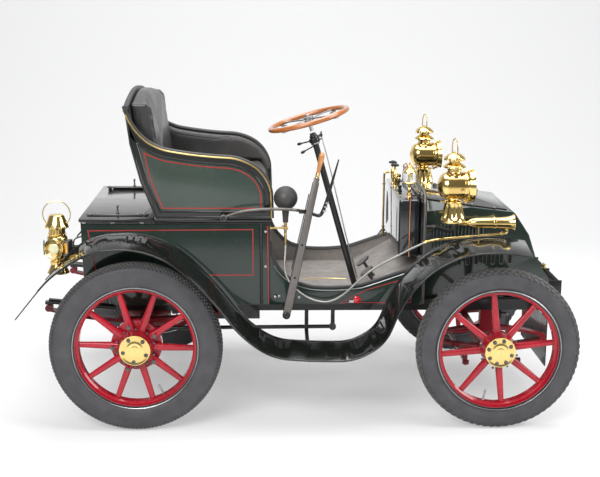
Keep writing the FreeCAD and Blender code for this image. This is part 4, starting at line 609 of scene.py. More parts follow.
hose_line = followed(HOSE_ROUTE, 12)
hose_mesh, hose_length = hose(hose_line)
horn_hose = piece("horn_hose_ribbed", hose_mesh, hose_metal, 60.0, ("horn_hose",))
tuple(HOSE_ROUTE[0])
[tuple(p) for p in hose_line]
print("hose length", round(hose_length, 4), "m,", len(horn_hose.data.polygons), "faces")

# %% [markdown]
# The wheels are of wood: tapered spokes wedge together at the hub under a bolted flange,
# and a bent wooden rim holds a steel one. Their solid has all of that, so it keeps its shape and
# gets its paint, with the steel rim black. The nuts, bolts and valve are separate pieces
# that turn with it.

# %% Wheels
AXLES = {"rear": (-0.7215, 0.380), "front": (0.8725, 0.365)}
SIDES = {"right": -1, "left": 1}
WHEELS = [(end, centre, word, side)
          for end, centre in AXLES.items() for word, side in SIDES.items()]
WHEEL_MIDDLE, WHEEL_FACE = 0.560, 0.620
RIM_RADIUS = {end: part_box(f"{end}_wheel_right")[1].z - height for end, (x, height) in AXLES.items()}


def around(centre, side, radius, degrees, out):
    """A place on a wheel's face: degrees run from ahead towards the top, out is its |Y|."""
    turn = radians(degrees)
    return Vector((centre[0] + radius * cos(turn), side * out, centre[1] + radius * sin(turn)))


def wheel_paint(end, centre):
    paint = Finish(f"{end}_wheel_paint", (0.36, 0.008, 0.02), 0.2, Coat_Weight=0.6,
                   Coat_Roughness=0.04, Specular_IOR_Level=0.2)
    far = paint.from_axle(centre)
    rim = RIM_RADIUS[end]
    steel_rim = far > rim - 0.0105
    grime = paint.band(paint.cloud(22.0, 5.0, 0.65), 0.5, 0.8, 0.0, 0.35)
    # The red is darker towards the hub.
    hub_darkening = paint.band(far, 0.06, 0.10, 0.5, 0.0)
    grain = paint.cloud(6.0, 4.0)
    red = paint.mixed(paint.band(grain, 0.35, 0.7), (0.40, 0.009, 0.022), (0.29, 0.006, 0.015))
    worn = paint.mixed(paint.maths("MAXIMUM", grime, hub_darkening), red, (0.11, 0.012, 0.014))
    paint.feed("Base Color", paint.mixed(steel_rim, worn, (0.012, 0.012, 0.013)))
    paint.feed("Roughness", paint.band(paint.cloud(30.0, 3.0), 0.4, 0.8, 0.18, 0.4))
    paint.bump(grain, 0.08, 0.001)
    return paint.material


# for each end: hub nuts and the first one's degrees, bolts and their shift, the valve's degrees
FITTINGS = {"rear": (5, -24, 10, -2, -62), "front": (8, -15, 8, 6, -103)}
NUT = [(0, 0), (0.0034, 0), (0.0034, 0.0095), (0.0022, 0.0108), (0, 0.0108)]
VALVE = [(0, 0), (0.0062, 0), (0.0062, 0.004), (0.0042, 0.006), (0.0042, 0.030), (0.0052, 0.031),
         (0.0052, 0.044), (0.0035, 0.047), (0, 0.047)]
EDGE = 0.0026
for end, centre in AXLES.items():
    paint, edge_at = wheel_paint(end, centre), RIM_RADIUS[end] - 0.001
    nuts, first, bolt_count, shift, valve_at = FITTINGS[end]
    rolled = [(edge_at - EDGE, -EDGE / 2), (edge_at, -EDGE / 2 - 0.0012), (edge_at + EDGE * 0.9, 0),
              (edge_at, EDGE / 2 + 0.0012), (edge_at - EDGE, EDGE / 2), (edge_at - EDGE, -EDGE / 2)]
    for word, side in SIDES.items():
        painted(f"{end}_wheel_{word}", paint)
        way, body = Y * side, f"{end}_wheel_{word}"
        parts = []
        for i in range(nuts):
            place = around(centre, side, 0.052, first + 360 / nuts * i, 0.6255)
            parts += [hexagon(place, way, 0.0072, 0.0075, i * 0.7), lathe(NUT, place, way, 10)]
        piece(f"{end}_hub_nuts_{word}", parts, dark_steel, body=body)
        bolts = []
        if end == "rear":
            bolts += [hexagon(around(centre, side, 0.100, a, 0.5975), way, 0.008, 0.008, a)
                      for a in (106, 34, -38, -110, 178)]
        for i in range(bolt_count):
            at = (i + 0.5) * 360 / bolt_count + shift
            bolts.append(stud(around(centre, side, 0.084, at, 0.5905), way, 0.0055, 0.004))
        piece(f"{end}_wheel_bolts_{word}", bolts, dark_steel, body=body)
        edges = [lathe(rolled, (centre[0], side * out, centre[1]), way, 96)
                 for out in (0.604, 0.5155)]
        inward = -around((0, 0), 0, 1, valve_at, 0)
        hub = Vector((centre[0], side * WHEEL_MIDDLE, centre[1]))
        valve = lathe(VALVE, hub - inward * (RIM_RADIUS[end] - 0.028), inward, 16)
        piece(f"{end}_rim_edges_{word}", edges, steel, 60.0, body=body)
        piece(f"{end}_valve_{word}", valve, steel, body=body)
print("wheel fittings:", sum("wheel" in o.name or "hub" in o.name for o in bpy.data.objects))

# %% [markdown]
# A hub cap is a spun brass disc. Its edge is turned over, and its middle carries a raised boss
# with a plain ring, left without lettering.

# %% Hub caps
HUB_DISC = [(0, 0.0096), (0.012, 0.0096), (0.0155, 0.0104), (0.0185, 0.0093), (0.030, 0.0088),
            (0.0325, 0.0096), (0.0350, 0.0086), (0.040, 0.0070), (0.0615, 0.0062), (0.0640, 0.0078),
            (0.0668, 0.0074), (0.0680, 0.0050), (0.0680, 0.0002), (0, 0.0002)]
for end, centre, word, side in WHEELS:
    disc = lathe(HUB_DISC, (centre[0], side * WHEEL_FACE, centre[1]), Y * side, 96)
    piece(f"{end}_hub_disc_{word}", disc, brass, 50.0, (f"{end}_hub_cap_{word}",),
          f"{end}_wheel_{word}")
print("hub caps:", len(WHEELS))

# %% [markdown]
# Tyres of the time are grey-black and moulded in a few strong forms. The carcass is one turned
# section with fine rings on its wall. The front pair has square shoulder blocks, and the rear pair
# a fine pattern of small wedges. One block is shaped, then spun round the wheel as copies.

# %% Tyres
def tyre_rubber(end, centre, radius):
    rubber = Finish(f"{end}_tyre_rubber", (0.055, 0.055, 0.058), 0.62, Specular_IOR_Level=0.35)
    far = rubber.from_axle(centre)
    dust = rubber.band(rubber.cloud(16.0, 5.0, 0.65), 0.35, 0.75)
    tread = rubber.band(far, radius - 0.016, radius - 0.001)
    wall = rubber.mixed(dust, (0.046, 0.046, 0.050), (0.074, 0.073, 0.078))
    rubber.feed("Base Color", rubber.mixed(tread * 0.8, wall, (0.125, 0.120, 0.112)))
    rubber.feed("Roughness", rubber.band(dust, 0.0, 1.0, 0.5, 0.72))
    rubber.bump(rubber.cloud(180.0, 3.0), 0.25, 0.0006)
    return rubber.material


# each point's place, in mm above the rim or as a share of the wall's height, and its share
# of the tyre's width
BEAD_POINTS = ((-4, -0.37), (2, -0.40), (6, -0.445), (14, -0.475))
WALL_POINTS = ((0.34, -0.497), (0.37, -0.5), (0.40, -0.497), (0.58, -0.485), (0.76, -0.435),
               (0.80, -0.43), (0.90, -0.355), (0.965, -0.24), (1, -0.10))


def tyre_section(radius, rim, width):
    """Radii and widths from the bead, round the wall and the crown, to the other bead."""
    wall = radius - 0.0055 - rim
    one = [(rim + up / 1000, share * width) for up, share in BEAD_POINTS]
    one += [(rim + wall * up, share * width) for up, share in WALL_POINTS]
    return one + [(r, -y) for r, y in reversed(one)] + [one[0]]


def tread_blocks(radius, rows, count):
    """Rows of blocks. Each gives its place across the tread, the block's length, width and height,
    the taper to its top, its shift along the row, its drop below the crown and its lean."""
    whole = bmesh.new()
    for across, long, wide, high, taper, offset, drop, lean in rows:
        block_mesh = bmesh.new()
        bmesh.ops.create_cube(block_mesh, size=1.0)
        bmesh.ops.scale(block_mesh, vec=(high, wide, long), verts=block_mesh.verts)
        crown = [v for v in block_mesh.verts if v.co.x > 0]
        bmesh.ops.scale(block_mesh, vec=(1.0, taper, taper), verts=crown)
        under = [f for f in block_mesh.faces if f.normal.x < -0.9]
        bmesh.ops.delete(block_mesh, geom=under, context="FACES_ONLY")
        bmesh.ops.transform(block_mesh, verts=block_mesh.verts,
                            matrix=(Matrix.Rotation(offset * 2 * pi / count, 4, "Y")
                                    @ Matrix.Translation((radius - drop - high / 2, across, 0.0))
                                    @ Matrix.Rotation(lean, 4, "Z")))
        bmesh.ops.spin(block_mesh, geom=block_mesh.faces[:], cent=(0, 0, 0), axis=(0, 1, 0),
                       angle=2 * pi * (count - 1) / count, steps=count - 1, use_duplicate=True)
        shell = as_mesh("row", block_mesh)
        whole.from_mesh(shell)
        bpy.data.meshes.remove(shell)
    return whole


FRONT_ROWS = [(0.0, 0.019, 0.018, 0.007, 0.86, 0.0, 0.0006, 0.0)]
for sign in (-1, 1):
    FRONT_ROWS += [(sign * 0.0205, 0.019, 0.013, 0.008, 0.84, 0.5, 0.0026, sign * 0.30),
                   (sign * 0.0350, 0.020, 0.011, 0.009, 0.82, 0.0, 0.0118, sign * 0.95)]
REAR_ROWS = [(0.0, 0.0105, 0.014, 0.006, 0.55, 0.0, 0.0004, 0.0)]
for sign in (-1, 1):
    REAR_ROWS += [(sign * 0.0145, 0.0105, 0.012, 0.006, 0.55, 0.5, 0.0012, sign * 0.18),
                  (sign * 0.0275, 0.0105, 0.012, 0.007, 0.55, 0.0, 0.0048, sign * 0.42),
                  (sign * 0.0395, 0.0105, 0.012, 0.007, 0.5, 0.5, 0.0125, sign * 0.85)]
for end, rows, count in (("rear", REAR_ROWS, 132), ("front", FRONT_ROWS, 72)):
    centre, (low, high) = AXLES[end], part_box(f"{end}_tyre_right")
    radius, width = (high.z - low.z) / 2, high.y - low.y
    rubber = tyre_rubber(end, centre, radius)
    for word, side in SIDES.items():
        place = Vector((centre[0], side * WHEEL_MIDDLE, centre[1]))
        section = tyre_section(radius, RIM_RADIUS[end], width)
        carcass = lathe(section, place, Y, 144)
        blocks = tread_blocks(radius, rows, count)
        bmesh.ops.translate(blocks, vec=place, verts=blocks.verts)
        made = piece(f"{end}_tyre_moulded_{word}", joined(carcass, blocks), rubber, 38.0,
                     (f"{end}_tyre_{word}",), f"{end}_wheel_{word}")
        print(made.name, len(made.data.polygons), "faces")

# %% [markdown]
# Leather of the seat is black hide, glazed by use. Its grain is fine cells with soft creases
# between them, and the glaze is worn dull and a little brown where people rub it.
# The floor wears a sheet of grey linoleum, faintly marbled and scuffed.

# %% Leather and floor covering
def glazed_leather(name, dark, worn, gloss):
    hide = Finish(name, dark, gloss, Specular_IOR_Level=0.55)
    rubbed = hide.band(hide.cloud(4.5, 4.0, 0.6), 0.45, 0.72)
    grain = hide.cells(420.0)
    creases = hide.band(hide.cells(26.0, "DISTANCE_TO_EDGE"), 0.0, 0.05)
    hide.feed("Base Color", hide.mixed(rubbed * 0.8, dark, worn))
    hide.feed("Roughness", hide.band(rubbed + grain * 0.3, 0.0, 1.2, gloss, gloss + 0.2))
    hide.bump(grain * 0.35 + creases * 0.25 + hide.cloud(9.0, 3.0) * 2.0, 0.35, 0.0012)
    return hide.material


def linoleum():
    sheet = Finish("grey_linoleum", (0.24, 0.215, 0.195), 0.45, Coat_Weight=0.15,
                   Coat_Roughness=0.3)
    marble = sheet.cloud(14.0, 6.0, 0.7)
    scuffs = sheet.band(sheet.cloud(5.0, 5.0, 0.65), 0.5, 0.75)
    tone = sheet.mixed(sheet.band(marble, 0.35, 0.65), (0.27, 0.245, 0.225), (0.19, 0.17, 0.155))
    sheet.feed("Base Color", sheet.mixed(scuffs * 0.7, tone, (0.12, 0.105, 0.095)))
    sheet.feed("Roughness", sheet.band(marble, 0.3, 0.7, 0.38, 0.6))
    sheet.bump(sheet.cloud(120.0, 2.0), 0.15, 0.0006)
    return sheet.material


hide = glazed_leather("seat_hide", (0.026, 0.026, 0.027), (0.055, 0.050, 0.046), 0.30)
lining_hide = glazed_leather("lining_hide", (0.022, 0.021, 0.021), (0.045, 0.040, 0.037), 0.42)
floor_mat = linoleum()
print("leather and mat ready")

# %% [markdown]
# Mouldings and pinstripes follow the edge of a panel at an even distance. The panel's own
# outline comes from the solid's flat face, and an inset of that face gives the parallel line.

# %% Lines that follow a panel
def face_outline(node, way):
    """The rim of a solid's largest flat face that looks this way, in order."""
    bm = cast_copy(node)
    faces = [f for f in bm.faces if f.normal.dot(Vector(way)) > 0.995]
    points = [v.co.copy() for v in max(faces, key=lambda f: f.calc_area()).verts]
    bm.free()
    return points


EVEN = 0.03


def inset(points, distance):
    """The same outline, drawn further in, without the points that cross at a tight corner."""
    bm = bmesh.new()
    face = bm.faces.new([bm.verts.new(p) for p in points])
    face.normal_update()
    bmesh.ops.inset_region(bm, faces=[face], thickness=distance, use_even_offset=True,
                           use_boundary=True)
    inner = [v.co.copy() for v in face.verts]
    bm.free()
    sides = list(zip(points, points[1:] + points[:1]))

    def clear_of(p):
        found = 1e9
        for a, b in sides:
            along = max(0.0, min(1.0, (p - a).dot(b - a) / max((b - a).length_squared, 1e-12)))
            found = min(found, (p - a.lerp(b, along)).length)
        return found

    return [p for p in inner if abs(clear_of(p) - distance) < EVEN * distance]


def upper_run(points, start, end):
    """The part of a closed outline between two places that lies higher."""
    count = len(points)
    first = min(range(count), key=lambda i: (points[i] - Vector(start)).length)
    last = min(range(count), key=lambda i: (points[i] - Vector(end)).length)
    ways = []
    for step in (1, -1):
        i, line = first, [points[first]]
        while i != last:
            i = (i + step) % count
            line.append(points[i])
        ways.append(line)
    return max(ways, key=lambda line: sum(p.z for p in line) / len(line))


def moved(points, shift):
    """All points by one shift."""
    return [p + Vector(shift) for p in points]


def dressed(node, finishes, rule, width, segments=2, limit=28.0):
    """A solid's shape with planed edges. The rule numbers the finish of each face."""
    bm = cast_copy(node)
    for face in bm.faces:
        face.material_index = rule(face) if rule else 0
    bevelled(bm, sharp_edges(bm, limit), width, segments, True)
    return piece(f"{node}_finished", outward(bm), finishes, 40.0, (node,),
                 nodes[node]["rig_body"])


print("panel lines ready")

# %% [markdown]
# Each end of the seat is a shaped board, painted green inside a frame of black half-round moulding. A
# roll finishes its edge, and a thin brass line under it, like the one along the crown of the back, is
# a painted reflection of a yellow glint on that edge. A red pinstripe runs inside the frame.

# %% Seat ends
SEAT_HALF, STRIPE_AT, SEAT_STRIPE_AT = 0.425, 0.37, 0.0465
STRIPE_WIDTH, STRIPE_RISE = 0.0045, 0.0005
MOULDING_AT, MOULDING_WIDTH, MOULDING_EDGES = 0.017, 0.033, (0.0075, 0.0310)
BACK_TOP, ARM_FOOT = (-0.7665, 1.414), (-0.1265, 0.922)
for word, side in SIDES.items():
    node, half = f"seat_side_{word}", side * SEAT_HALF
    outer = Vector((0, side, 0))
    dressed(node, [panel_green, wing_black],
            lambda face: 0 if face.normal.dot(outer) > 0.9 else 1, 0.003)
    rim = face_outline(node, outer)
    start, end = (Vector((x, half, z)) for x, z in (BACK_TOP, ARM_FOOT))
    top_edge = upper_run(rim, start, end)
    roll = bar(moved(top_edge, (0, side * -0.014, 0.001)), 0.0095, 3, detail=3, sides=12)
    piece(f"arm_roll_{word}", roll, lining_hide)
    # The brass line under the roll is a painted reflection of a yellow glint along the edge.
    glint_line = upper_run(inset(rim, 0.002), start, end)
    piece(f"arm_glint_line_{word}", bar(moved(glint_line, (0, side * 0.0012, 0)), 0.0036, 3, detail=3),
          old_brass)
    flat = band(inset(rim, MOULDING_AT), outer, MOULDING_WIDTH, 0.0032, True)
    edges = [bar(moved(inset(rim, depth), (0, side * 0.001, 0)), 0.0046, 2, True, 1, 10)
             for depth in MOULDING_EDGES]
    piece(f"seat_moulding_{word}", [flat, *edges], wing_black, 50.0)
    stripe = band(inset(rim, SEAT_STRIPE_AT), outer, STRIPE_WIDTH, STRIPE_RISE, True)
    piece(f"seat_stripe_{word}", stripe, stripe_red)
crown = [Vector((-0.759, y / 8 * SEAT_HALF, 1.405 + 0.045 * (1 - (y / 8) ** 2)))
         for y in range(-8, 9)]
piece("crown_roll", bar(crown, 0.0115, 3, sides=12), lining_hide)
# The brass line under the crown roll is a painted reflection too.
piece("crown_glint_line", bar(moved(crown, (-0.0105, 0, -0.013)), 0.003), old_brass)
dressed("seat_back", [body_green, lining_hide],
        lambda face: 1 if face.normal.x > 0.2 or face.normal.z > 0.5 else 0, 0.003)
dressed("seat_base", [wing_black], None, 0.004, 3)
BACK_CURVE = (-0.6455, 0.94), (-0.7025, 1.086), (-0.7452, 1.25), (-0.7635, 1.385)
back_line = [Vector((x - 0.0006, -STRIPE_AT, z)) for x, z in BACK_CURVE]
for i, (low_at, high_at) in enumerate(zip(back_line, back_line[1:])):
    normal = (high_at - low_at).cross(Y).normalized() * -1
    normal *= -1 if normal.x > 0 else 1
    for side in (-1, 1):
        rail = [Vector((p.x, side * STRIPE_AT, p.z)) for p in (low_at, high_at)]
        piece(f"back_stripe_{i}_{side + 1}", band(rail, normal, 0.0042, STRIPE_RISE), stripe_red)
for name, at in (("low", back_line[0]), ("high", back_line[-1])):
    rail = [Vector((at.x, y, at.z)) for y in (-0.372, 0.372)]
    piece(f"back_stripe_{name}", band(rail, (-0.95, 0, 0.3), 0.0042, STRIPE_RISE), stripe_red)
print("seat ends:", len(top_edge), "points along an arm")

# %% [markdown]
# The pads are horsehair under leather. Each starts from its solid, a little smaller, and cloth
# with air pressure swells it, so its faces crown and its sides draw in between the corners.
# How far a point may move is capped, because a pad stays within its place on the seat.

# %% Padding
PRESSURE, SWELL_FRAMES, QUICK_CELL = 4.0, 20, 1.6


def padded(name, bm, finish, nodes_for, cap, cell, shrink=0.006):
    """A pad swelled by air pressure, no point further than cap from where it was."""
    made = piece(name, bm, finish, 180.0, nodes_for)
    remesh = made.modifiers.new("even_mesh", "REMESH")
    remesh.mode, remesh.voxel_size = "VOXEL", cell * 1
    bake(made)
    bm = bmesh.new()
    bm.from_mesh(made.data)
    for vert in bm.verts:
        vert.co -= vert.normal * shrink
    bm.to_mesh(made.data)
    bm.free()
    rest = [v.co.copy() for v in made.data.vertices]
    cloth = made.modifiers.new("swelling", "CLOTH")
    cloth.settings.use_pressure, cloth.settings.uniform_pressure_force = True, PRESSURE
    cloth.settings.effector_weights.gravity = 0.0
    for step in range(1, SWELL_FRAMES + 1):
        bpy.context.scene.frame_set(step)
    bake(made)
    bpy.context.scene.frame_set(1)
    for vert, before in zip(made.data.vertices, rest):
        move = vert.co - before
        vert.co = before + move * min(1.0, cap / max(move.length, 1e-9))
    soften = made.modifiers.new("soft_skin", "SUBSURF")
    soften.levels = soften.render_levels = 1
    made.data.shade_smooth()
    return made


def bake(made):
    """Writes what the modifiers make into the piece's own mesh and clears them."""
    shaped = evaluated(made)
    old = made.data
    made.modifiers.clear()
    made.data = shaped
    shaped.name = made.name
    bpy.data.meshes.remove(old)


def part_of(node, keep):
    """One loose part of a solid, picked by a test on its points."""
    bm = cast_copy(node)
    bmesh.ops.delete(bm, geom=[v for v in bm.verts if not keep(v.co)], context="VERTS")
    return bm


cushion = padded("seat_squab", cast_copy("seat_cushion"), hide, ("seat_cushion",), 0.016, 0.007)
PAD_HALF = 0.3705
leaning = part_of("seat_back_pad", lambda co: abs(co.y) < PAD_HALF)
bevelled(leaning, sharp_edges(leaning, 35), 0.022, 4, True)
LEAN_FROM, LEAN_OVER, MIDDLE_HALF, END_WIDTH = 1.16, 0.14, 0.20, 0.17
PAD_BACK, PAD_TOP = -0.72, 1.36
for vert in leaning.verts:
    height = min(1.0, max(0.0, (vert.co.z - LEAN_FROM) / LEAN_OVER))
    end = max(0.0, abs(vert.co.y) - MIDDLE_HALF) / END_WIDTH
    vert.co.x += height * (0.010 + 0.030 * end * end) * (1 if vert.co.x > PAD_BACK else 0.2)
    vert.co.z += 0.012 * height * (1 if vert.co.z > PAD_TOP else 0)
back_pad = padded("back_squab", leaning, hide, ("seat_back_pad",), 0.012, 0.007, shrink=0.003)
for word, side in SIDES.items():
    inside = part_of("seat_back_pad", lambda co: co.y * side > PAD_HALF)
    lining = padded(f"arm_lining_{word}", inside, lining_hide, (), 0.008, 0.006)
    rim = face_outline(f"seat_side_{word}", (0, side, 0))
    start, end = (Vector((x, side * SEAT_HALF, z)) for x, z in ((-0.73, 1.33), (-0.129, 1.03)))
    path = [Vector((p.x, side * 0.391, p.z - 0.012))
            for p in upper_run(inset(rim, 0.016), start, end)]
    piece(f"arm_bolster_{word}", bar(path, 0.0205, 3, detail=2, sides=16), lining_hide,
          60.0)
print("pads:", [len(o.data.vertices) for o in (cushion, back_pad, lining)])

# %% [markdown]
# The body is a framed box in dark green with one fine red line drawn round each panel,
# and bolts where its corner irons are. The lines are thin bands laid just proud of the paint.

# %% Body and its pinstripes
def lined(name, points, way, closed=False, width=STRIPE_WIDTH):
    """A pinstripe through these points."""
    return piece(name, band(points, way, width, STRIPE_RISE, closed), stripe_red)


dressed("body_box", [body_green, frame_black],
        lambda face: 1 if face.normal.z < -0.9 else 0, 0.004, 3)
BODY_SIDE = 0.4102
BODY_BOLTS = ((-0.112, 0.410, 0.560), (-0.155, 0.410, 0.700), (-0.155, 0.410, 0.860),
              (-0.93, 0.410, 0.60), (-0.094, 0.400, 0.560), (-0.004, 0.400, 0.555))
for word, side in SIDES.items():
    y, out = side * BODY_SIDE, (0, side, 0)
    lined(f"body_line_{word}", [(-0.938, y, 0.864), (-0.211, y, 0.870), (-0.211, y, 0.662),
                                (-0.905, y, 0.662)], out, True)
    lined(f"corner_line_{word}", [(-0.146, y, 0.886), (-0.141, y, 0.532)], out)
    bead = joined(bar([(-0.176, y, 0.900), (-0.172, y, 0.530)], 0.0065, 2),
                  bar([(-0.966, y, 0.899), (-0.125, y, 0.899)], 0.0055, 2))
    piece(f"body_beads_{word}", bead, wing_black, 50.0)
    bolts = [stud((x, side * at, z), out, 0.0065, 0.004, 16) for x, at, z in BODY_BOLTS]
    piece(f"body_bolts_{word}", bolts, steel)
box = cast_copy("body_box")
rear = max((f for f in box.faces if f.normal.x < -0.9 and f.calc_center_median().x < -0.86),
           key=lambda f: f.calc_area())
rear_rim, rear_way = [v.co.copy() for v in rear.verts], rear.normal.copy()
box.free()
lined("rear_line", inset(rear_rim, 0.045), rear_way, True)
print("rear panel corners:", len(rear_rim))

# %% [markdown]
# The lid over the boot is a flat panel in black japan, glossy enough to mirror the seat.
# On it lie two rails with pointed ends, each with a turned T handle that pulls a bolt,
# and its edge hangs on small plated catches.

# %% Boot lid and fittings
low, high = Vector((-0.9765, -0.422, 0.9043)), Vector((-0.6475, 0.422, 0.9203))
piece("boot_lid_panel", block(low, high, 0.0035, 3), wing_black, 40.0, ("boot_lid",),
      "boot_lid")
LID_TOP, RAIL_TOP, RAIL_ENDS = 0.9203, 0.9293, (-0.9225, -0.7015)
rails = []
for side in (-1, 1):
    y = side * 0.356
    rails.append(block((RAIL_ENDS[0], y - 0.009, LID_TOP), (RAIL_ENDS[1], y + 0.009, RAIL_TOP),
                       0.003, 3))
    for x, way in zip(RAIL_ENDS, (-X, X)):
        knob = [(0, 0), (0.0045, 0), (0.0045, 0.004), (0.0072, 0.009), (0.0075, 0.014),
                (0.0045, 0.021), (0.0018, 0.028), (0, 0.030)]
        rails += [lathe(knob, (x, y, 0.9252), way, 16),
                  (stud((x - way.x * 0.022, y, RAIL_TOP), Z, 0.005, 0.003), 1)]
    post = [(0, 0), (0.0085, 0), (0.0085, 0.003), (0.0045, 0.006), (0.0036, 0.012), (0.0036, 0.030),
            (0.0052, 0.034), (0.0036, 0.037), (0, 0.037)]
    rails += [lathe(post, (-0.812, y, RAIL_TOP), Z, 16),
              bar([(-0.812, y - 0.017, 0.9625), (-0.812, y - 0.006, 0.9632),
                   (-0.812, y + 0.006, 0.9632), (-0.812, y + 0.017, 0.9625)], 0.0034,
                  radii=[1.25, 0.9, 0.9, 1.25])]
piece("boot_rails", rails, [dark_steel, steel], 45.0, body="boot_lid")
catches = []
for side in (-1, 1):
    for x in (-0.955, -0.83, -0.70):
        catches.append(block((x - 0.009, side * 0.414 - 0.002, 0.8975),
                             (x + 0.009, side * 0.414 + 0.002, 0.9045), 0.001, 1))
piece("lid_catches", catches, steel)
print("boot lid dressed")

# %% [markdown]
# The footwell is a shallow tray. Its boards are green outside with the fine red line of the
# body, covered with grey linoleum inside, and its scooped edges carry a black welt
# with a bright strip under it.

# %% Footwell
FOOTWELL_SIDE, SEAT_FRONT, FLOOR_UNDER = 0.3985, -0.1, 0.523


def footwell_finish(face):
    """Green on the outer sides and under the seat, black below the floor, matting inside."""
    middle = face.calc_center_median()
    if abs(middle.y) > FOOTWELL_SIDE and abs(face.normal.y) > 0.9 or middle.x < SEAT_FRONT:
        return 0
    return 2 if face.normal.z < -0.5 or middle.z < FLOOR_UNDER else 1


dressed("footwell", [body_green, floor_mat, frame_black], footwell_finish, 0.002)
for word, side in SIDES.items():
    rim = face_outline("footwell", (0, side, 0))
    edge = upper_run(rim, (-0.1355, side * 0.4, 0.813), (0.5495, side * 0.4, 0.70))
    welt = joined(bar(moved(edge, (0, side * -0.004, 0.001)), 0.0072, 3, detail=3, sides=12),
                  bar(moved(edge, (0, side * -0.0195, -0.001)), 0.0035, 3, detail=3))
    piece(f"footwell_welt_{word}", welt, lining_hide)
    bright = bar(moved(upper_run(inset(rim, 0.0125), edge[0], edge[-1]), (0, side * 0.0004, 0)),
                 0.0026, 3, detail=3)
    piece(f"footwell_strip_{word}", bright, steel)
    step = ((0.182, 0.530), (0.300, 0.590), (0.470, 0.640), (0.505, 0.560), (0.500, 0.530))
    lined(f"step_line_{word}", [(x, side * 0.4002, z) for x, z in step], (0, side, 0), True, 0.0035)
MAT_TOP = face_outline("footwell", Z)[0].z + 0.0008
seam = bar([(x, y, MAT_TOP) for x, y in ((0.030, -0.01), (0.09, 0.0), (0.16, 0.0), (0.235, -0.01))],
           0.0022)
piece("mat_seam", seam, old_brass)
lens = [(0, 0), (0.014, 0), (0.0165, 0.001), (0.0165, 0.005), (0.0135, 0.0068), (0.0, 0.0095)]
# The red glass has a faint red emission, a painted glow, since neither the reflectors nor the tail
# lamp's glass give light here.
glowing_red_glass = Finish("glowing_red_glass", (0.42, 0.004, 0.010), 0.06, Coat_Weight=1.0, Emission_Strength=0.25)
glowing_red_glass.shader.inputs["Emission Color"].default_value = (0.5, 0.0, 0.01, 1.0)
glowing_red_glass.bump(glowing_red_glass.cells(320.0), 0.5, 0.0008)
for word, side in SIDES.items():
    place = (0.258, side * 0.4003, 0.545)
    piece(f"side_reflector_{word}", lathe(lens, place, (0, side, 0), 24), glowing_red_glass.material)
    tag = block((0.222, side * 0.4015 - 0.0012, 0.530), (0.244, side * 0.4015 + 0.0012, 0.541),
                0.001, 1)
    piece(f"reflector_tag_{word}", tag, steel)
print("footwell dressed")

# %% [markdown]
# The dash is a board with rounded shoulders and a beaded edge. Behind it sits a black
# enamelled tank, held by two straps, whose rear face catches the light of the studio.

# %% Dash board and tank
dressed("dash_board", [wing_black], None, 0.003)
dash_rim = face_outline("dash_board", (1, 0, 0))
dash_line = upper_run(dash_rim, (0.5635, -0.39, 0.522), (0.5635, 0.39, 0.522))
bead = bar([Vector((0.5565, p.y, p.z)) for p in dash_line], 0.0085, 2, detail=1, sides=12)
piece("dash_bead", bead, dark_steel, 60.0)
japan = Finish("black_japan", (0.010, 0.011, 0.013), 0.14, Coat_Weight=1.0, Coat_Roughness=0.02)
japan.feed("Roughness", japan.band(japan.cloud(7.0, 5.0), 0.4, 0.8, 0.1, 0.3))
japan.bump(japan.cloud(3.0, 2.0), 0.05, 0.002)
piece("tank_shell", block((0.4515, -0.300, 0.7183), (0.5493, 0.300, 0.9843), 0.014, 4),
      japan.material, 50.0, ("dash_tank",))
straps = []
for y in (-0.215, 0.215):
    loop = ((0.5490, 0.9855), (0.4650, 0.9855), (0.4500, 0.9700), (0.4500, 0.7330),
            (0.4650, 0.7170), (0.5490, 0.7170))
    straps.append(ribbon([(x, y, z) for x, z in loop], 0.011, 0.0016))
piece("tank_straps", straps, dark_steel)
filler = [(0, 0), (0.020, 0), (0.020, 0.006), (0.016, 0.008), (0.016, 0.014), (0.022, 0.016),
          (0.022, 0.026), (0.019, 0.030), (0.006, 0.032), (0, 0.032)]
piece("tank_filler", lathe(filler, (0.500, 0.235, 0.984), Z, 32), old_brass)
print("dash dressed")

# %% [markdown]
# The bonnet is bent sheet over the engine, in dark green. Each side has a row of pressed louvres that
# let hot air out, and a row of bound slots below them. Here the openings are not cut: a black sheet
# in each one is painted shade. The upper bevels carry fine cooling ribs, and two hinge rods lie along
# the edges of the lid.

# %% Bonnet
dressed("bonnet", [body_green, frame_black],
        lambda face: 1 if face.normal.z < -0.95 else 0, 0.0016, 2, 12.0)
dressed("bonnet_lid", [wing_black], None, 0.0015, 2, 24.0)


def louvre(place, out, up, length, drop, proud):
    """A pressed louvre: a half-round hood, open along its lower lip."""
    along = up.cross(out).normalized()
    bm = bmesh.new()
    rows = []
    for i in range(7):
        share = i / 6
        swell = sin(pi * min(1.0, share * 1.35) * 0.5)
        row = []
        for j in range(9):
            end = j / 8 * 2 - 1
            taper = (1 - abs(end) ** 4) ** 0.5
            row.append(bm.verts.new(place + along * (end * length / 2) + up * (drop * (0.5 - share))
                                    + out * (proud * swell * taper)))
        rows.append(row)
    for a, b in zip(rows, rows[1:]):
        for j in range(8):
            bm.faces.new((a[j], a[j + 1], b[j + 1], b[j]))
    return bm


def panel_at(x):
    """|Y| of the bonnet's upright side, which tapers towards the nose."""
    return 0.300 - (0.300 - 0.240) * (x - 0.5585) / (1.1765 - 0.5585)
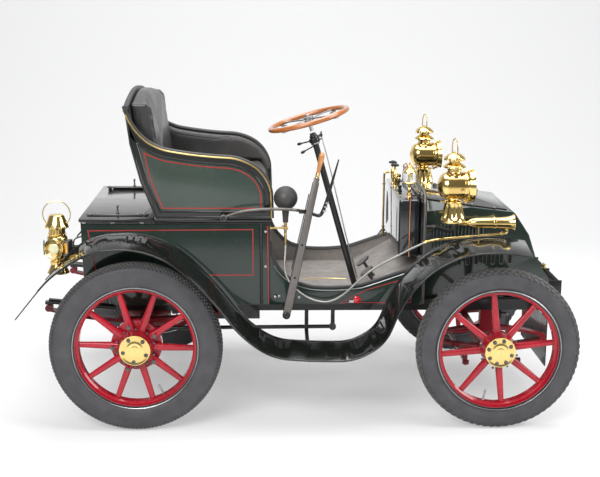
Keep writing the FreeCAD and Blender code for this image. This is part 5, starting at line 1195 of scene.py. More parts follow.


# A flat black that stands for the painted shade inside the openings.
painted_shade_black = Finish("shadow_black", (0.004, 0.004, 0.004), 0.8).material
LOUVRES = 15
taper = Vector((0.618, 0.060, 0.0)).normalized()
for word, side in SIDES.items():
    out = Vector((taper.y, taper.x * side, 0.0)).normalized()
    along = Vector((taper.x, -side * taper.y, 0.0))
    hoods = []
    for i in range(LOUVRES):
        x = 0.612 + 0.0165 * i
        place = Vector((x, side * (panel_at(x) + 0.0002), 0.815))
        hoods.append(louvre(place, out, along, 0.112, 0.011, 0.0065))
        # A black block along the louvre's open lip is painted shade for the dark inside of the
        # bonnet.
        shade_at = place + along * -0.0062
        hoods.append((block((-0.0011, -0.0006, -0.053), (0.0011, 0.0010, 0.053), 0), 1))
        bmesh.ops.transform(hoods[-1][0], verts=hoods[-1][0].verts, matrix=Matrix.Translation(shade_at))
    piece(f"bonnet_louvres_{word}", hoods, [body_green, painted_shade_black], 60.0)
    slot_turns = [(end, start + k * pi / 8) for end, start in ((0.016, 0.0), (-0.016, pi))
                  for k in range(9)]
    slots = []
    for i in range(7):
        x = 0.735 + 0.040 * i
        y = side * (panel_at(x) + 0.0004)
        shaded_hole = [(x + 0.009 * cos(a), y, 0.700 + end + 0.009 * sin(a)) for end, a in slot_turns]
        # The slot is not cut: a black plate inside its bound rim is painted shade.
        slots += [(plate(shaded_hole, -0.0008 * side, 0), 1),
                  bar([Vector(p) + Vector((0, side * 0.0005, 0)) for p in shaded_hole], 0.0018, 2, True, 1,
                      6)]
    piece(f"bonnet_slots_{word}", slots, [dark_steel, painted_shade_black], 60.0)

for word, side in SIDES.items():
    ribs = []
    for i in range(9):
        share = 0.12 + 0.76 * i / 8
        y, z = 0.2965 - 0.0585 * share, 0.929 + 0.045 * share
        ribs.append(bar([(0.590, side * (y + 0.001), z + 0.0015),
                         (0.640, side * (y - 0.004), z - 0.005)], 0.0022, 2))
    piece(f"cooling_ribs_{word}", ribs, body_green)
straps = []
for side in (-1, 1):
    start, end = Vector((0.690, side * 0.2355, 0.962)), Vector((0.900, side * 0.2355, 0.9335))
    straps.append(bar([start, end], 0.0042, 2))
    for at in (start, end, (start + end) / 2):
        straps.append(lathe([(0, -0.002), (0.009, -0.002), (0.009, 0.004), (0.005, 0.008),
                             (0, 0.008)], at, Z, 16))
piece("lid_hinges", straps, dark_steel)
print("bonnet louvres:", LOUVRES, "on each side")

# %% [markdown]
# The radiator is one long finned tube folded across the nose. Each pass is a copper pipe
# strung with thin square-edged washers, and end brackets hold the passes apart.

# %% Gilled radiator
def gilled_radiator():
    low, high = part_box("radiator")
    parts = []
    for row in range(3):
        for deep in range(2):
            x = low.x + 0.015 + 0.030 * deep
            z = low.z + 0.018 + 0.032 * row
            parts.append((bar([(x, low.y + 0.004, z), (x, high.y - 0.004, z)], 0.0055, 2, sides=10),
                          1))
            fin = lathe([(0.0052, -0.0004), (0.0142, -0.0004), (0.0142, 0.0004), (0.0052, 0.0004)],
                        (x, low.y + 0.014, z), Y, 12)
            gills = bmesh.new()
            shell = as_mesh("fin", fin)
            for i in range(74):
                before = len(gills.verts)
                gills.from_mesh(shell)
                gills.verts.ensure_lookup_table()
                bmesh.ops.translate(gills, vec=(0, 0.006 * i, 0), verts=gills.verts[before:])
            bpy.data.meshes.remove(shell)
            parts.append(gills)
    for y in (low.y, high.y - 0.005, -0.0025):
        parts.append((block((low.x, y, low.z), (high.x, y + 0.005, high.z), 0.0015, 2), 2))
    for side, row in ((-1, 0), (1, 1)):
        y, z = side * (high.y - 0.001), low.z + 0.018 + 0.032 * row
        parts.append((bar([(low.x + 0.015, y - side * 0.006, z), (low.x + 0.015, y, z + 0.004),
                           (low.x + 0.015, y, z + 0.028),
                           (low.x + 0.015, y - side * 0.006, z + 0.032)], 0.0055), 1))
    return joined(*parts)


made = piece("gilled_tubes", gilled_radiator(), [dark_steel, copper, frame_black],
             40.0, ("radiator",))
cap = [(0, 0), (0.013, 0), (0.013, 0.004), (0.008, 0.006), (0.008, 0.014), (0.012, 0.016),
       (0.012, 0.021), (0, 0.022)]
piece("radiator_tap", joined(lathe(cap, (1.2018, 0.0, 0.590), Z, 20),
                             bar([(1.2018, -0.014, 0.612), (1.2018, 0.014, 0.612)], 0.003, 2)),
      old_brass)
print("radiator faces:", len(made.data.polygons))

# %% [markdown]
# The headlamps burn acetylene. Each is spun from sheet brass: a barrel with a flared rim and a
# silvered bowl behind its glass, a tiered chimney whose caps have cut petal edges, and a
# fluted skirt for the burner under a ball neck. Every round part is one profile on the lathe.

# %% Lamp glass and reflector
lamp_glass = Finish("lamp_glass", (0.93, 0.95, 0.92), 0.03, Transmission_Weight=0.92, IOR=1.45,
                    Coat_Weight=0.5)
lamp_glass.bump(lamp_glass.cloud(60.0, 2.0), 0.05, 0.001)
lens_yellow = Finish("lens_yellow", (0.74, 0.70, 0.38), 0.08, Coat_Weight=1.0, Coat_Roughness=0.02)
lens_rings = lens_yellow.cloud(40.0, 2.0)
lens_yellow.feed("Base Color", lens_yellow.mixed(lens_rings, (0.60, 0.58, 0.30),
                                                 (0.86, 0.83, 0.58)))
amber = Finish("amber_glass", (0.80, 0.42, 0.04), 0.06, Coat_Weight=1.0, Coat_Roughness=0.02)
amber.feed("Base Color", amber.mixed(amber.band(amber.cloud(30.0), 0.3, 0.7), (0.85, 0.50, 0.06),
                                     (0.66, 0.28, 0.02)))
silvered = worked_metal("silvered_bowl", (0.90, 0.90, 0.88), (0.62, 0.60, 0.55), 0.06, 0.06, 120.0,
                        0.03)


def turned(rows, place, way, steps):
    """A lathe profile given in millimetres."""
    return lathe([(r / 1000, h / 1000) for r, h in rows], place, way, steps)


def round_points(bm, place):
    """Each point of a piece turned about Z, with its height in mm, its arm and its angle."""
    across = aimed(place).to_3x3().col[0]
    for vert in bm.verts:
        arm = vert.co - place
        flat = arm - Z * arm.dot(Z)
        yield vert, arm.dot(Z) * 1000, flat, atan2(Z.dot(across.cross(flat)), across.dot(flat))


def petalled(bm, place, low, high, beyond, teeth, depth, sink=0.0):
    """Cuts scallops into the rim of a turned piece: its outer points draw in between the teeth."""
    for vert, height, flat, turn in round_points(bm, place):
        if low <= height <= high and flat.length * 1000 > beyond:
            wave = 0.5 - 0.5 * cos(turn * teeth)
            vert.co -= flat * depth * wave - Z * sink / 1000 * wave
    return bm


def fluted(bm, place, low, high, flutes, depth):
    """Presses rounded flutes into a stretch of a turned piece."""
    for vert, height, flat, turn in round_points(bm, place):
        if low < height < high and flat.length > 0.004:
            ends = sin(pi * (height - low) / (high - low)) ** 0.5
            vert.co -= flat * depth * ends * abs(sin(turn * flutes / 2))
    return bm


print("lamp finishes ready")

# %% [markdown]
# The barrel's bands, the hinge on its rim and the spring catch opposite are what says lamp
# from any side, so they are separate small turned and bent pieces on the spun body.

# %% Headlamps
LAMP_X, LAMP_Y, LAMP_Z = 0.6665, 0.470, 1.079
BARREL = [(0, -71), (15, -71), (17, -69.5), (19, -68), (34, -64), (46, -57), (54, -47), (57.5, -37),
          (58.5, -34), (61, -33.5), (61.5, -31.5), (61, -29.5), (58.5, -29), (58.5, 42),
          (61.5, 42.5), (62, 45), (61.5, 47.5), (58.5, 48), (58.5, 56), (61, 59), (64, 61),
          (66, 65), (67, 72), (68.5, 80), (71, 86), (70.5, 87.2), (68.5, 87), (66, 82), (64.5, 78),
          (61, 77), (60.5, 72), (58, 66), (50, 44), (38, 26), (22, 14), (0, 10)]
CHIMNEY = [(0, 20), (46, 30), (43, 44), (36, 54), (31, 59), (30, 62), (31.5, 63), (31.5, 66),
           (30, 67), (30, 80), (33, 83), (46, 82.5), (49, 80), (50, 82), (47, 88), (36, 96),
           (27, 100), (24, 103), (24, 113), (28, 116), (44, 115), (46, 112), (47.5, 115), (46, 122),
           (38, 132), (24, 141), (10, 145), (8, 149), (0, 150)]
SKIRT = [(0, -40), (20, -42), (27, -48), (29, -54), (27, -60), (22, -64), (24, -66), (34, -67),
         (38, -69), (39, -72), (38, -75), (37, -77), (41, -92), (46, -112), (50, -132), (52, -144),
         (54, -148), (56, -152), (56, -157), (54, -161), (50, -162), (0, -162)]
for word, side in SIDES.items():
    at = Vector((LAMP_X, side * LAMP_Y, LAMP_Z))
    chimney = turned(CHIMNEY, at, Z, 72)
    petalled(chimney, at, 110, 116, 40, 12, 0.14, 2.0)
    petalled(chimney, at, 79, 83, 44, 18, 0.05)
    skirt = fluted(turned(SKIRT, at, Z, 96), at, -146, -78, 12, 0.16)
    barrel = turned(BARREL, at, X, 72)
    parts = [barrel, chimney, skirt]
    for face in barrel.faces:
        middle = face.calc_center_median() - at
        if middle.x > 0.008 and hypot(middle.y, middle.z) < 0.0605 and face.normal.x > 0.2:
            face.material_index = 1
    for i in range(12):
        a = radians(30 * i + 15)
        out = Vector((cos(a), sin(a), 0))
        parts.append(stud(at + out * 0.0385 - Z * 0.0715, out, 0.0038, 0.0035, 12))
        # Each vent hole of the chimney is a thin dark steel disc, painted shade for the opening.
        shaded_hole = at + out * 0.0302 + Z * 0.0735
        parts.append((lathe([(0, 0), (0.0028, 0), (0.0028, 0.0006), (0, 0.0006)], shaded_hole, out, 10),
                      2))
    for way in (X, -X):
        screw = [(0, 0), (2.2, 0), (2.2, 14), (5.5, 15), (6, 18), (5.5, 21), (0, 21.5)]
        parts.append(turned(screw, at + Vector((way.x * 0.0375, 0, -0.0715)), way, 16))
    hinge = at + Vector((0.070, 0, 0.0665))
    parts += [lathe([(0, -0.011), (0.0045, -0.011), (0.0045, 0.011), (0, 0.011)], hinge, Y, 16),
              bar(shifted(hinge, (-0.018, 0, -0.006), (-0.006, 0, 0.001), (0, 0, 0)), 0.0035),
              bar(shifted(hinge, (0, 0, 0), (0.008, 0, 0.006), (0.015, 0, 0.004)), 0.0030)]
    latch = at + Vector((0.066, 0, -0.0668))
    parts += [bar(shifted(latch, (-0.022, 0, 0.006), (-0.010, 0, -0.004), (0.006, 0, -0.002)),
                  0.0032),
              lathe([(0, 0), (0.0055, 0.001), (0.006, 0.006), (0, 0.009)],
                    latch + Vector((-0.012, 0, -0.011)), Z, 14)]
    wheel = at + Vector((0.030, side * 0.0575, -0.012))
    parts.append(turned([(0, 0), (3, 0), (3, 5), (8, 6), (8.5, 8), (8, 10), (0, 10.5)], wheel,
                        (0, side, 0), 20))
    burner = [(0, 10), (4, 10), (4, 22), (2.2, 25), (2.2, 30), (0, 30)]
    parts.append((turned(burner, at + Vector((0.012, 0, -0.004)), X, 14), 2))
    turn = Matrix.Rotation(radians(13), 4, "Z")
    half_bail = [(-0.028, 0.128), (-0.032, 0.150), (-0.029, 0.185), (-0.014, 0.2065)]
    cage = half_bail + [(-y, z) for y, z in reversed(half_bail)]
    legs = [turn @ Vector((0, y, z)) + at for y, z in cage]
    parts.append((bar(legs, 0.0026, 3, detail=6, sides=8), 3))
    piece(f"headlamp_spun_{word}", parts, [brass, silvered, dark_steel, old_brass], 42.0,
          (f"headlamp_{word}",))
    dome = [(0, 84), (20, 83.2), (40, 80.8), (54, 77.5), (60.5, 75), (60.5, 73), (54, 75.5),
            (40, 78.8), (20, 81.2), (0, 82)]
    names = ("lamp_glasses",) if side < 0 else ()
    piece(f"headlamp_glass_{word}", turned(dome, at, X, 48), lamp_glass.material, 40.0,
          names)
print("headlamps spun")

# %% [markdown]
# The tail lamp is a smaller oil lamp. Its bull's-eye lens looks to the side in a ring of
# stepped brass, an amber pane shines forward, and a hoop of wire carries it by hand.
# A black strap bolted to the body's rear holds it.

# %% Tail lamp
TAIL = Vector((-1.0755, -0.397, 0.789))
TAIL_BODY = [(0, -118), (46, -118), (48.5, -117), (49, -114.5), (47, -112), (43, -104), (38, -92),
             (34, -83), (31, -78), (31.5, -77), (33.5, -76), (33.5, -65), (31.5, -64), (29, -62),
             (29, -58), (33, -55), (41, -50), (44, -46), (44.5, -42), (44.5, 42), (43, 47),
             (38, 52), (35, 55), (36, 57), (39, 58), (39, 61), (36, 62), (36, 84), (38, 86),
             (44, 88), (52, 87), (53, 90), (50, 97), (44, 112), (37, 130), (33.5, 141), (30, 145),
             (18, 147), (0, 147.2)]
body = fluted(turned(TAIL_BODY, TAIL, Z, 96), TAIL, 62, 86, 16, 0.10)
petalled(body, TAIL, 86, 91, 48, 12, 0.12, 3.0)
facing = Matrix.Rotation(radians(-15), 3, "Z") @ Vector((0, -1, 0))
ring = [(0, 10), (42, 10), (42, 34), (44, 35), (46, 37), (46.5, 41), (45, 44), (42, 45), (39, 43),
        (37, 42), (35, 43.5), (33, 42), (31, 41), (29, 43), (27, 44.5), (25.5, 42), (25, 40),
        (0, 40)]
bulge = [(0, 41), (24.5, 41), (24.5, 42.5), (21, 45), (14, 46.6), (7, 47.4), (0, 47.6)]
parts = [body, turned(ring, TAIL, facing, 64), (turned(bulge, TAIL, facing, 40), 1)]
sideways = Vector((0.966, -0.259, 0)).normalized()
depth_way = Z.cross(sideways)
WINDOW = (0.030, -0.034), (0.062, -0.034), (0.062, 0.034), (0.044, 0.034), (0.030, 0.008)
PANE = (0.046, -0.022), (0.058, -0.022), (0.058, 0.026), (0.043, 0.022)
window = [TAIL + sideways * a + Z * b for a, b in WINDOW]
parts.append((plate([p + depth_way * 0.024 for p in window], 0.048, 0.002), 2))
pane = [TAIL + sideways * a + Z * b - depth_way * 0.0252 for a, b in PANE]
parts.append((plate(pane, 0.0015, 0), 3))
for level in (-0.0705, 0.060):
    for i in range(10):
        a = radians(36 * i)
        out = Vector((cos(a), sin(a), 0))
        parts.append(stud(TAIL + out * (0.0335 if level < 0 else 0.0388) + Z * level, out, 0.0028,
                          0.0022, 10))
catch = TAIL + facing * 0.038 - sideways * 0.046
parts.append((bar([catch - Z * 0.030, catch - sideways * 0.004, catch + Z * 0.034], 0.0032), 2))
hoop = [TAIL + Vector((0.0607 * cos(a), 0, 0.1472 + 0.0607 * sin(a)))
        for a in (radians(d) for d in range(-46, 227, 16))]
parts.append((bar(hoop, 0.0023, 3, detail=4, sides=8), 4))
piece("tail_lamp_spun", parts, [brass, lens_yellow.material, dark_steel, amber.material, old_brass],
      42.0, ("tail_lamp",))
# The tail lamp's red back glass also takes the painted glow.
rear_glass = turned([(0, 44.6), (18, 44.2), (22, 42), (22, 40), (0, 40)], TAIL, (-0.94, 0.34, 0),
                    32)
piece("tail_lamp_red_glass", rear_glass, glowing_red_glass.material)
painted("lamp_brackets", frame_black)
hanger = ((-0.9700, 0.838), (-0.992, 0.833), (-1.0075, 0.820), (-1.0075, 0.760), (-0.995, 0.738),
          (-0.9595, 0.730))
strap = ribbon([(x, TAIL.y, z) for x, z in hanger], 0.009, 0.0045)
bolt_heads = [hexagon((-0.9655, -0.397, 0.846), -X, 0.006, 0.005),
              hexagon((-0.9605, -0.397, 0.722), -X, 0.006, 0.005)]
piece("tail_lamp_strap", joined(strap, *bolt_heads), frame_black)
print("tail lamp spun")

# %% [markdown]
# The horn starts at a rubber bulb beside the seat. Rubber of this age is matt and grey with
# fine crazing. Its brass tube feeds the flexible hose, and the trumpet lies along the wing:
# one feed pipe, a return loop and a stout bell with a band and a rolled lip.

# %% Horn bulb and trumpet
old_rubber = Finish("old_rubber", (0.028, 0.026, 0.026), 0.5, Specular_IOR_Level=0.4)
chalk = old_rubber.band(old_rubber.cloud(7.0, 5.0, 0.6), 0.4, 0.75)
old_rubber.feed("Base Color", old_rubber.mixed(chalk, (0.026, 0.024, 0.024), (0.060, 0.056, 0.054)))
old_rubber.feed("Roughness", old_rubber.band(old_rubber.cloud(30.0, 4.0), 0.3, 0.7, 0.42, 0.62))
old_rubber.bump(old_rubber.cells(210.0, "DISTANCE_TO_EDGE") + old_rubber.cloud(60.0), 0.12, 0.0006)
BULB = Vector((-0.0665, -0.402, 1.011))
ball = [(0, -108.6), (12, -108.6), (12.6, -106), (11.6, -103.5), (12.6, -100), (11.8, -96),
        (13.2, -91), (12.4, -86), (14.2, -80), (13.6, -75), (15.6, -68), (15.2, -62), (17.0, -56),
        (20.0, -50.5)]
ball += [(53 * sin(a), -53 * cos(a)) for a in (radians(d) for d in range(25, 181, 7))]
ball[-1] = (0, 53)
piece("horn_bulb_rubber", turned(ball, BULB, Z, 64), old_rubber.material, 60.0,
      ("horn_bulb",))
tube_top = BULB + Vector((0, 0, -0.109))
tube = [(0, -101.9), (5.2, -101.9), (6.0, -101), (6.0, -60), (6.6, -59), (6.6, -56), (6.0, -55),
        (6.0, -34), (10, -33), (11.5, -31), (11.5, -24), (10, -22), (7, -21), (6.4, -6), (8.5, -4),
        (8.5, -0.5), (0, -0.5)]
arm_y, arm_z = -0.402, 0.8755
branch = bar([(x, arm_y, arm_z) for x in (-0.134, -0.100, -0.076)], 0.0045, 2)
fitting = joined(turned(tube, tube_top, Z, 28), branch,
                 turned([(0, 0), (9, 0), (9, 2.5), (5, 4), (0, 4)], (-0.1352, arm_y, arm_z), X, 20),
                 turned([(0, 0), (4, 0), (4, 8), (7, 9), (7, 13), (0, 14)],
                        (-0.078, arm_y - 0.004, 0.884), -Y, 16))
piece("horn_tube_brass", fitting, old_brass, 45.0, ("horn_tube",))

FEED = [(0.5505, -0.421, 0.8108), (0.5805, -0.421, 0.8240), (0.720, -0.421, 0.8370),
        (0.890, -0.421, 0.8530), (0.9220, -0.419, 0.8570), (0.9270, -0.392, 0.8650),
        (0.9200, -0.3570, 0.8700), (0.885, -0.3564, 0.8730), (0.740, -0.3564, 0.8830),
        (0.7050, -0.3580, 0.8880), (0.6960, -0.384, 0.8960), (0.7050, -0.413, 0.9016),
        (0.7300, -0.415, 0.9019), (0.7505, -0.415, 0.9019)]
MOUTH = Vector((0.7445, -0.415, 0.9019))
bell = [(0, -3), (7.5, -3), (9, 0), (12, 4), (16, 11), (19.5, 22), (22, 38), (23.2, 60), (24, 90),
        (24.4, 112), (26.6, 113), (27.4, 116), (27.4, 121), (26.6, 124), (24.8, 125), (25.4, 150),
        (27, 172), (29.5, 186), (33, 197), (37, 203.5), (38, 205.5), (37, 207), (35, 206),
        (31, 199), (27.5, 187), (24.5, 165), (22, 120), (18, 70), (10, 50), (0, 46)]
flare = turned(bell, MOUTH, X, 64)
for face in flare.faces:
    middle = face.calc_center_median() - MOUTH
    if face.normal.x > 0.05 and 0.045 < middle.x < 0.186 and middle.yz.length < 0.0235:
        face.material_index = 1
parts = [flare, bar(FEED, 0.0058, 3, detail=6, sides=12)]
for x in (0.5620, 0.9000):
    near = min(followed(FEED, 6), key=lambda p: abs(p.x - x) + abs(p.y + 0.421))
    parts.append(turned([(5.6, -5), (7.8, -5), (8.4, -3), (8.4, 3), (7.8, 5), (5.6, 5)], near,
                        (1, 0, 0.09), 24))
clamp_at = Vector((0.5565, -0.3903, 0.8138))
parts += [bar([clamp_at, clamp_at - Y * 0.016, clamp_at - Y * 0.028], 0.0046, 2),
          turned([(0, 0), (9, 0), (9, 2), (6, 3.5), (0, 3.5)], clamp_at, -Y, 20)]
cradle = [(0.7900, -0.421, 0.8380), (0.7900, -0.4285, 0.8460), (0.7900, -0.4330, 0.8650),
          (0.7900, -0.4300, 0.8850)]
parts.append((bar(cradle, 0.0022, 3), 1))
piece("horn_trumpet_bell", parts, [brass, old_brass], 45.0, ("horn_trumpet",))
print("horn dressed")

# %% [markdown]
# On top of the tank stands a sight-feed lubricator: a fluted glass under a brass cap, where
# the driver sees the oil drip. Beside it are two cocks with black star handles on
# brass stems, joined by a bent pipe.

# %% Lubricator and cocks
OILER = Vector((0.5005, -0.251, 0.9846))
stand = [(0, 0), (19, 0), (19.5, 1.5), (19, 3.5), (9, 5), (7, 9), (7, 12), (11.5, 15), (12.5, 19),
         (11.5, 23), (7, 26), (6, 32), (8.5, 35), (9.5, 39), (8.5, 43), (6.5, 47), (6.5, 58),
         (12, 62), (26, 66), (31, 68), (32, 70), (32, 73), (30.5, 74.5), (0, 74.5)]
cap = [(0, 117.4), (31, 117.4), (32, 119), (31, 122), (27, 124.5), (26, 128), (22, 130.5),
       (21, 134), (17, 137), (12, 138.5), (11, 142), (12.5, 143), (12.5, 147), (10, 149),
       (4.5, 150), (4.5, 160), (0, 162)]
glass = fluted(turned([(0, 75), (29.4, 75), (30, 77), (30, 114), (29.4, 117), (0, 117)], OILER, Z,
                      96), OILER, 77, 114, 18, 0.07)
oil_pipe = shifted(OILER, (0, -0.004, 0.019), (0, -0.034, 0.019), (0, -0.0535, 0.019),
                   (0, -0.0555, 0.010), (0, -0.0555, -0.02), (0, -0.0555, -0.264))
copper_tubes = []
for x, y, top in ((-0.012, -0.008, 0.1625), (0.012, 0.006, 0.1560), (0.002, 0.014, 0.160)):
    line = shifted(OILER, (x, y, 0.124), (x, y, 0.144), (x * 1.5, y * 1.5, top),
                   (x * 2.6, y * 2.6, top - 0.006), (x * 2.7, y * 2.7, top - 0.020))
    copper_tubes.append((bar(line, 0.0030, 3), 1))
drip = [(0, 74), (3, 74), (3, 118), (0, 118)]
parts = [turned(stand, OILER, Z, 32), turned(cap, OILER, Z, 40), turned(drip, OILER, Z, 12),
         (bar(oil_pipe, 0.0034, 3, detail=6), 1)] + copper_tubes
forward_pipe = shifted(OILER, (0.006, 0.0, 0.008), (0.030, 0.004, 0.010), (0.044, 0.008, 0.014),
                       (0.060, 0.010, -0.006), (0.074, 0.010, -0.030))
parts.append((bar(forward_pipe, 0.0030, 3), 2))
star = [(0, 98), (5, 98), (6, 100), (19, 101), (21, 104), (21, 108), (19, 111), (8, 112), (7, 114),
        (0, 114)]
cock = [(0, 0), (9, 0), (9.5, 2), (9, 5), (5.5, 8), (5, 22), (8, 26), (9.5, 34), (9.5, 46), (8, 52),
        (10.5, 54), (10.5, 66), (8, 70), (5, 76), (4.2, 98), (0, 98)]
for y in (0.036, 0.126):
    foot = Vector((0.4678, y, OILER.z))
    parts.append(turned(cock, foot, Z, 24))
    handle = petalled(turned(star, foot, Z, 60), foot, 98, 113, 12, 5, 0.42)
    parts += [(handle, 2), hexagon(foot + Z * 0.054, Z, 0.0125, 0.010),
              turned([(0, 0), (6, 0), (6, 14), (8.5, 15), (8.5, 20), (0, 21)], foot + Z * 0.040, X,
                     20)]
small = Vector((0.4790, -0.075, OILER.z))
parts.append((turned([(0, 0), (11, 0), (11, 6), (7, 8), (7, 16), (9.5, 18), (9.5, 27), (0, 29)],
                     small, Z, 24), 2))
elbow = ((0.4678, 0.036, 1.0336), (0.4678, 0.100, 1.0336), (0.4678, 0.165, 1.0336),
         (0.4650, 0.180, 1.0336), (0.4400, 0.180, 1.0336), (0.4319, 0.180, 1.0280),
         (0.4319, 0.180, 1.000), (0.4319, 0.180, 0.7185))
parts.append((bar(elbow, 0.0052, 3, detail=6, sides=10), 3))
for z in (0.975, 0.760):
    parts.append((turned([(5, -3), (8, -3), (8.5, 0), (8, 3), (5, 3)], (0.4319, 0.180, z), Z, 20),
                  3))
piece("lubricator_and_cocks", parts, [brass, copper, frame_black, old_brass], 42.0,
      ("oiler",))
piece("lubricator_glass", glass, lamp_glass.material, 60.0, ("oiler_glass",))
print("lubricator dressed")

# %% [markdown]
# The steering wheel is a hoop of steamed ash or mahogany, varnished orange-brown, on four flat steel
# arms. Its grain runs round the hoop; the finish's stripes come from noise squeezed along one axis of
# the piece's own space.

# %% Varnished wood
COLUMN_TILT = radians(16)
COLUMN_WAY = Vector((-sin(COLUMN_TILT), 0, cos(COLUMN_TILT)))
COLUMN_FOOT = Vector((0.2485, -0.220, 0.613))
COLUMN_LENGTH, WHEEL_AT = 0.690, 0.756
RIM_CENTRE = COLUMN_FOOT + COLUMN_WAY * WHEEL_AT


def varnished(name, pale, deep, stretch):
    wood = Finish(name, pale, 0.22, Coat_Weight=0.9, Coat_Roughness=0.05)
    along = wood.scaled(stretch)
    grain = wood.cloud(30.0, 6.0, 0.65, along)
    figure = wood.band(wood.cloud(6.0, 3.0, 0.5, along), 0.35, 0.7)
    tone = wood.mixed(wood.band(grain, 0.35, 0.68), pale, deep)
    dirt = wood.band(wood.cloud(12.0, 4.0), 0.55, 0.8)
    wood.feed("Base Color", wood.mixed(dirt * 0.5, wood.mixed(figure * 0.5, tone, deep),
                                       (0.10, 0.035, 0.01)))
    wood.feed("Roughness", wood.band(grain, 0.3, 0.7, 0.18, 0.34))
    wood.bump(grain, 0.10, 0.0006)
    return wood.material


rim_wood = varnished("rim_wood", (0.50, 0.17, 0.030), (0.28, 0.075, 0.014), (1.0, 1.0, 6.0))
grip_wood = varnished("grip_wood", (0.62, 0.27, 0.07), (0.38, 0.13, 0.028), (8.0, 8.0, 1.6))
print("wheel centre", [round(v, 4) for v in RIM_CENTRE])

# %% [markdown]
# Each arm of the wheel is forged: a boss at the hub, a flat tapered blade and a forked foot
# screwed into the rim. Under the wheel the column carries a clamp block with the spark and
# throttle levers, which end in small turned knobs.

# %% Steering wheel
RIM_RADIUS_HAND, GRIP_RADIUS = 0.178, 0.0125
oval = [(RIM_RADIUS_HAND + GRIP_RADIUS * cos(a), GRIP_RADIUS * 0.92 * sin(a))
        for a in (radians(22.5 * i) for i in range(17))]
rim = lathe(oval, RIM_CENTRE, COLUMN_WAY, 120)
piece("steering_rim_wood", rim, rim_wood, 60.0, ("steering_rim",), "steering_wheel")
arms = []
place = aimed(RIM_CENTRE, COLUMN_WAY)
for quarter in range(4):
    turn = place @ Matrix.Rotation(radians(45 + 90 * quarter), 4, "Z")
    blade = [(0.018, -0.0085), (0.050, -0.0065), (0.110, -0.0052), (0.150, -0.0055),
             (0.1655, -0.0085), (0.1655, 0.0085), (0.150, 0.0055), (0.110, 0.0052), (0.050, 0.0065),
             (0.018, 0.0085)]
    arm = plate([(x, y, -0.0028) for x, y in blade], 0.0056, 0.0016)
    bmesh.ops.transform(arm, matrix=turn, verts=arm.verts)
    arms.append(arm)
    tab = plate([(0.150, -0.010, -0.0165), (0.172, -0.011, -0.0145), (0.1775, -0.010, -0.0140),
                 (0.1775, 0.010, -0.0140), (0.172, 0.011, -0.0145), (0.150, 0.010, -0.0165)],
                0.0022, 0.0006)
    bmesh.ops.transform(tab, matrix=turn, verts=tab.verts)
    for x in (0.1585, 0.1715):
        under = turn @ Vector((x, 0, -0.0160))
        arms.append(stud(under, -COLUMN_WAY, 0.0035, 0.002, 10))
    arms.append(tab)
hub = [(0, -12), (24, -12), (24, -10), (21, -8), (21, 6), (24, 8), (24, 10.5), (19, 12), (12, 12),
       (12, 14), (0, 14)]
arms += [turned(hub, RIM_CENTRE, COLUMN_WAY, 40),
         hexagon(RIM_CENTRE + COLUMN_WAY * 0.013, COLUMN_WAY, 0.011, 0.008),
         lathe([(0, -0.056), (0.0084, -0.056), (0.0084, -0.010), (0, -0.010)], RIM_CENTRE,
               COLUMN_WAY, 24)]
piece("steering_arms", arms, steel, 40.0, ("steering_spider",), "steering_wheel")
painted("steering_column", frame_black)

clamp = COLUMN_FOOT + COLUMN_WAY * (COLUMN_LENGTH - 0.030)
head = turned([(0, -24), (17, -24), (18, -22), (18, -14), (24, -12), (25, -10), (25, 3), (24, 5),
               (19, 6), (18.5, 16), (17, 20), (14.5, 22), (0, 22)], clamp, COLUMN_WAY, 40)
collar = turned([(14, -21), (19.5, -21), (20.5, -20), (20.5, -15), (19.5, -14), (14, -14)], clamp,
                COLUMN_WAY, 40)
ears = [head, (collar, 1)]
over = Vector((-cos(COLUMN_TILT), 0, -sin(COLUMN_TILT)))
for drop, swing, reach in ((-0.004, 0.35, 0.064), (-0.026, -0.30, 0.058)):
    root = clamp + COLUMN_WAY * drop
    out = (over * cos(swing) + Y * sin(swing) - Z * (0.02 if drop > -0.01 else 0.22)).normalized()
    ears.append(bar([root + out * 0.016, root + out * 0.034, root + out * reach], 0.0032, 2))
    knob = [(0, -3), (3.2, -3), (4.5, 2), (6.6, 8), (7.0, 13), (6.0, 18), (3.5, 21.5), (0, 22.5)]
    ears.append(turned(knob, root + out * reach, out, 20))
for rise, side in ((0.010, 1), (-0.002, -1)):
    root = clamp + COLUMN_WAY * rise
    ears += [bar([root - over * 0.018, root - over * 0.034 + COLUMN_WAY * 0.004,
                  root - over * 0.040 + COLUMN_WAY * 0.016], 0.0036, 2),
             (hexagon(root - over * 0.024 + Y * 0.010 * side, -over, 0.0062, 0.010), 1)]
thin_rod = [clamp - over * 0.036 + COLUMN_WAY * 0.004, clamp - over * 0.034 - COLUMN_WAY * 0.16,
            COLUMN_FOOT - over * 0.022 + COLUMN_WAY * 0.20, COLUMN_FOOT - over * 0.020
            - COLUMN_WAY * 0.02]
ears.append((bar(thin_rod, 0.0026, 2), 1))
piece("column_clamp_and_levers", ears, [frame_black, steel], 45.0, ("hand_controls",))
print("steering dressed")

# %% [markdown]
# The hand brake is a flat forged bar, broad at its foot, with a toothed quadrant beside it and
# a turned grip of pale wood in a brass ferrule. The gear lever is a bent rod that ends in
# a flat blade, and notches at its bend hold the gears.

# %% Levers and pedals
worn_steel = worked_metal("worn_steel", (0.20, 0.185, 0.175), (0.075, 0.065, 0.058), 0.4, 0.2)
LEVER_FOOT, LEVER_TOP = Vector((-0.0622, -0.486, 0.497)), Vector((0.0667, -0.486, 1.1137))
lever_way = (LEVER_TOP - LEVER_FOOT).normalized()
lever_across = lever_way.cross(Y).normalized()


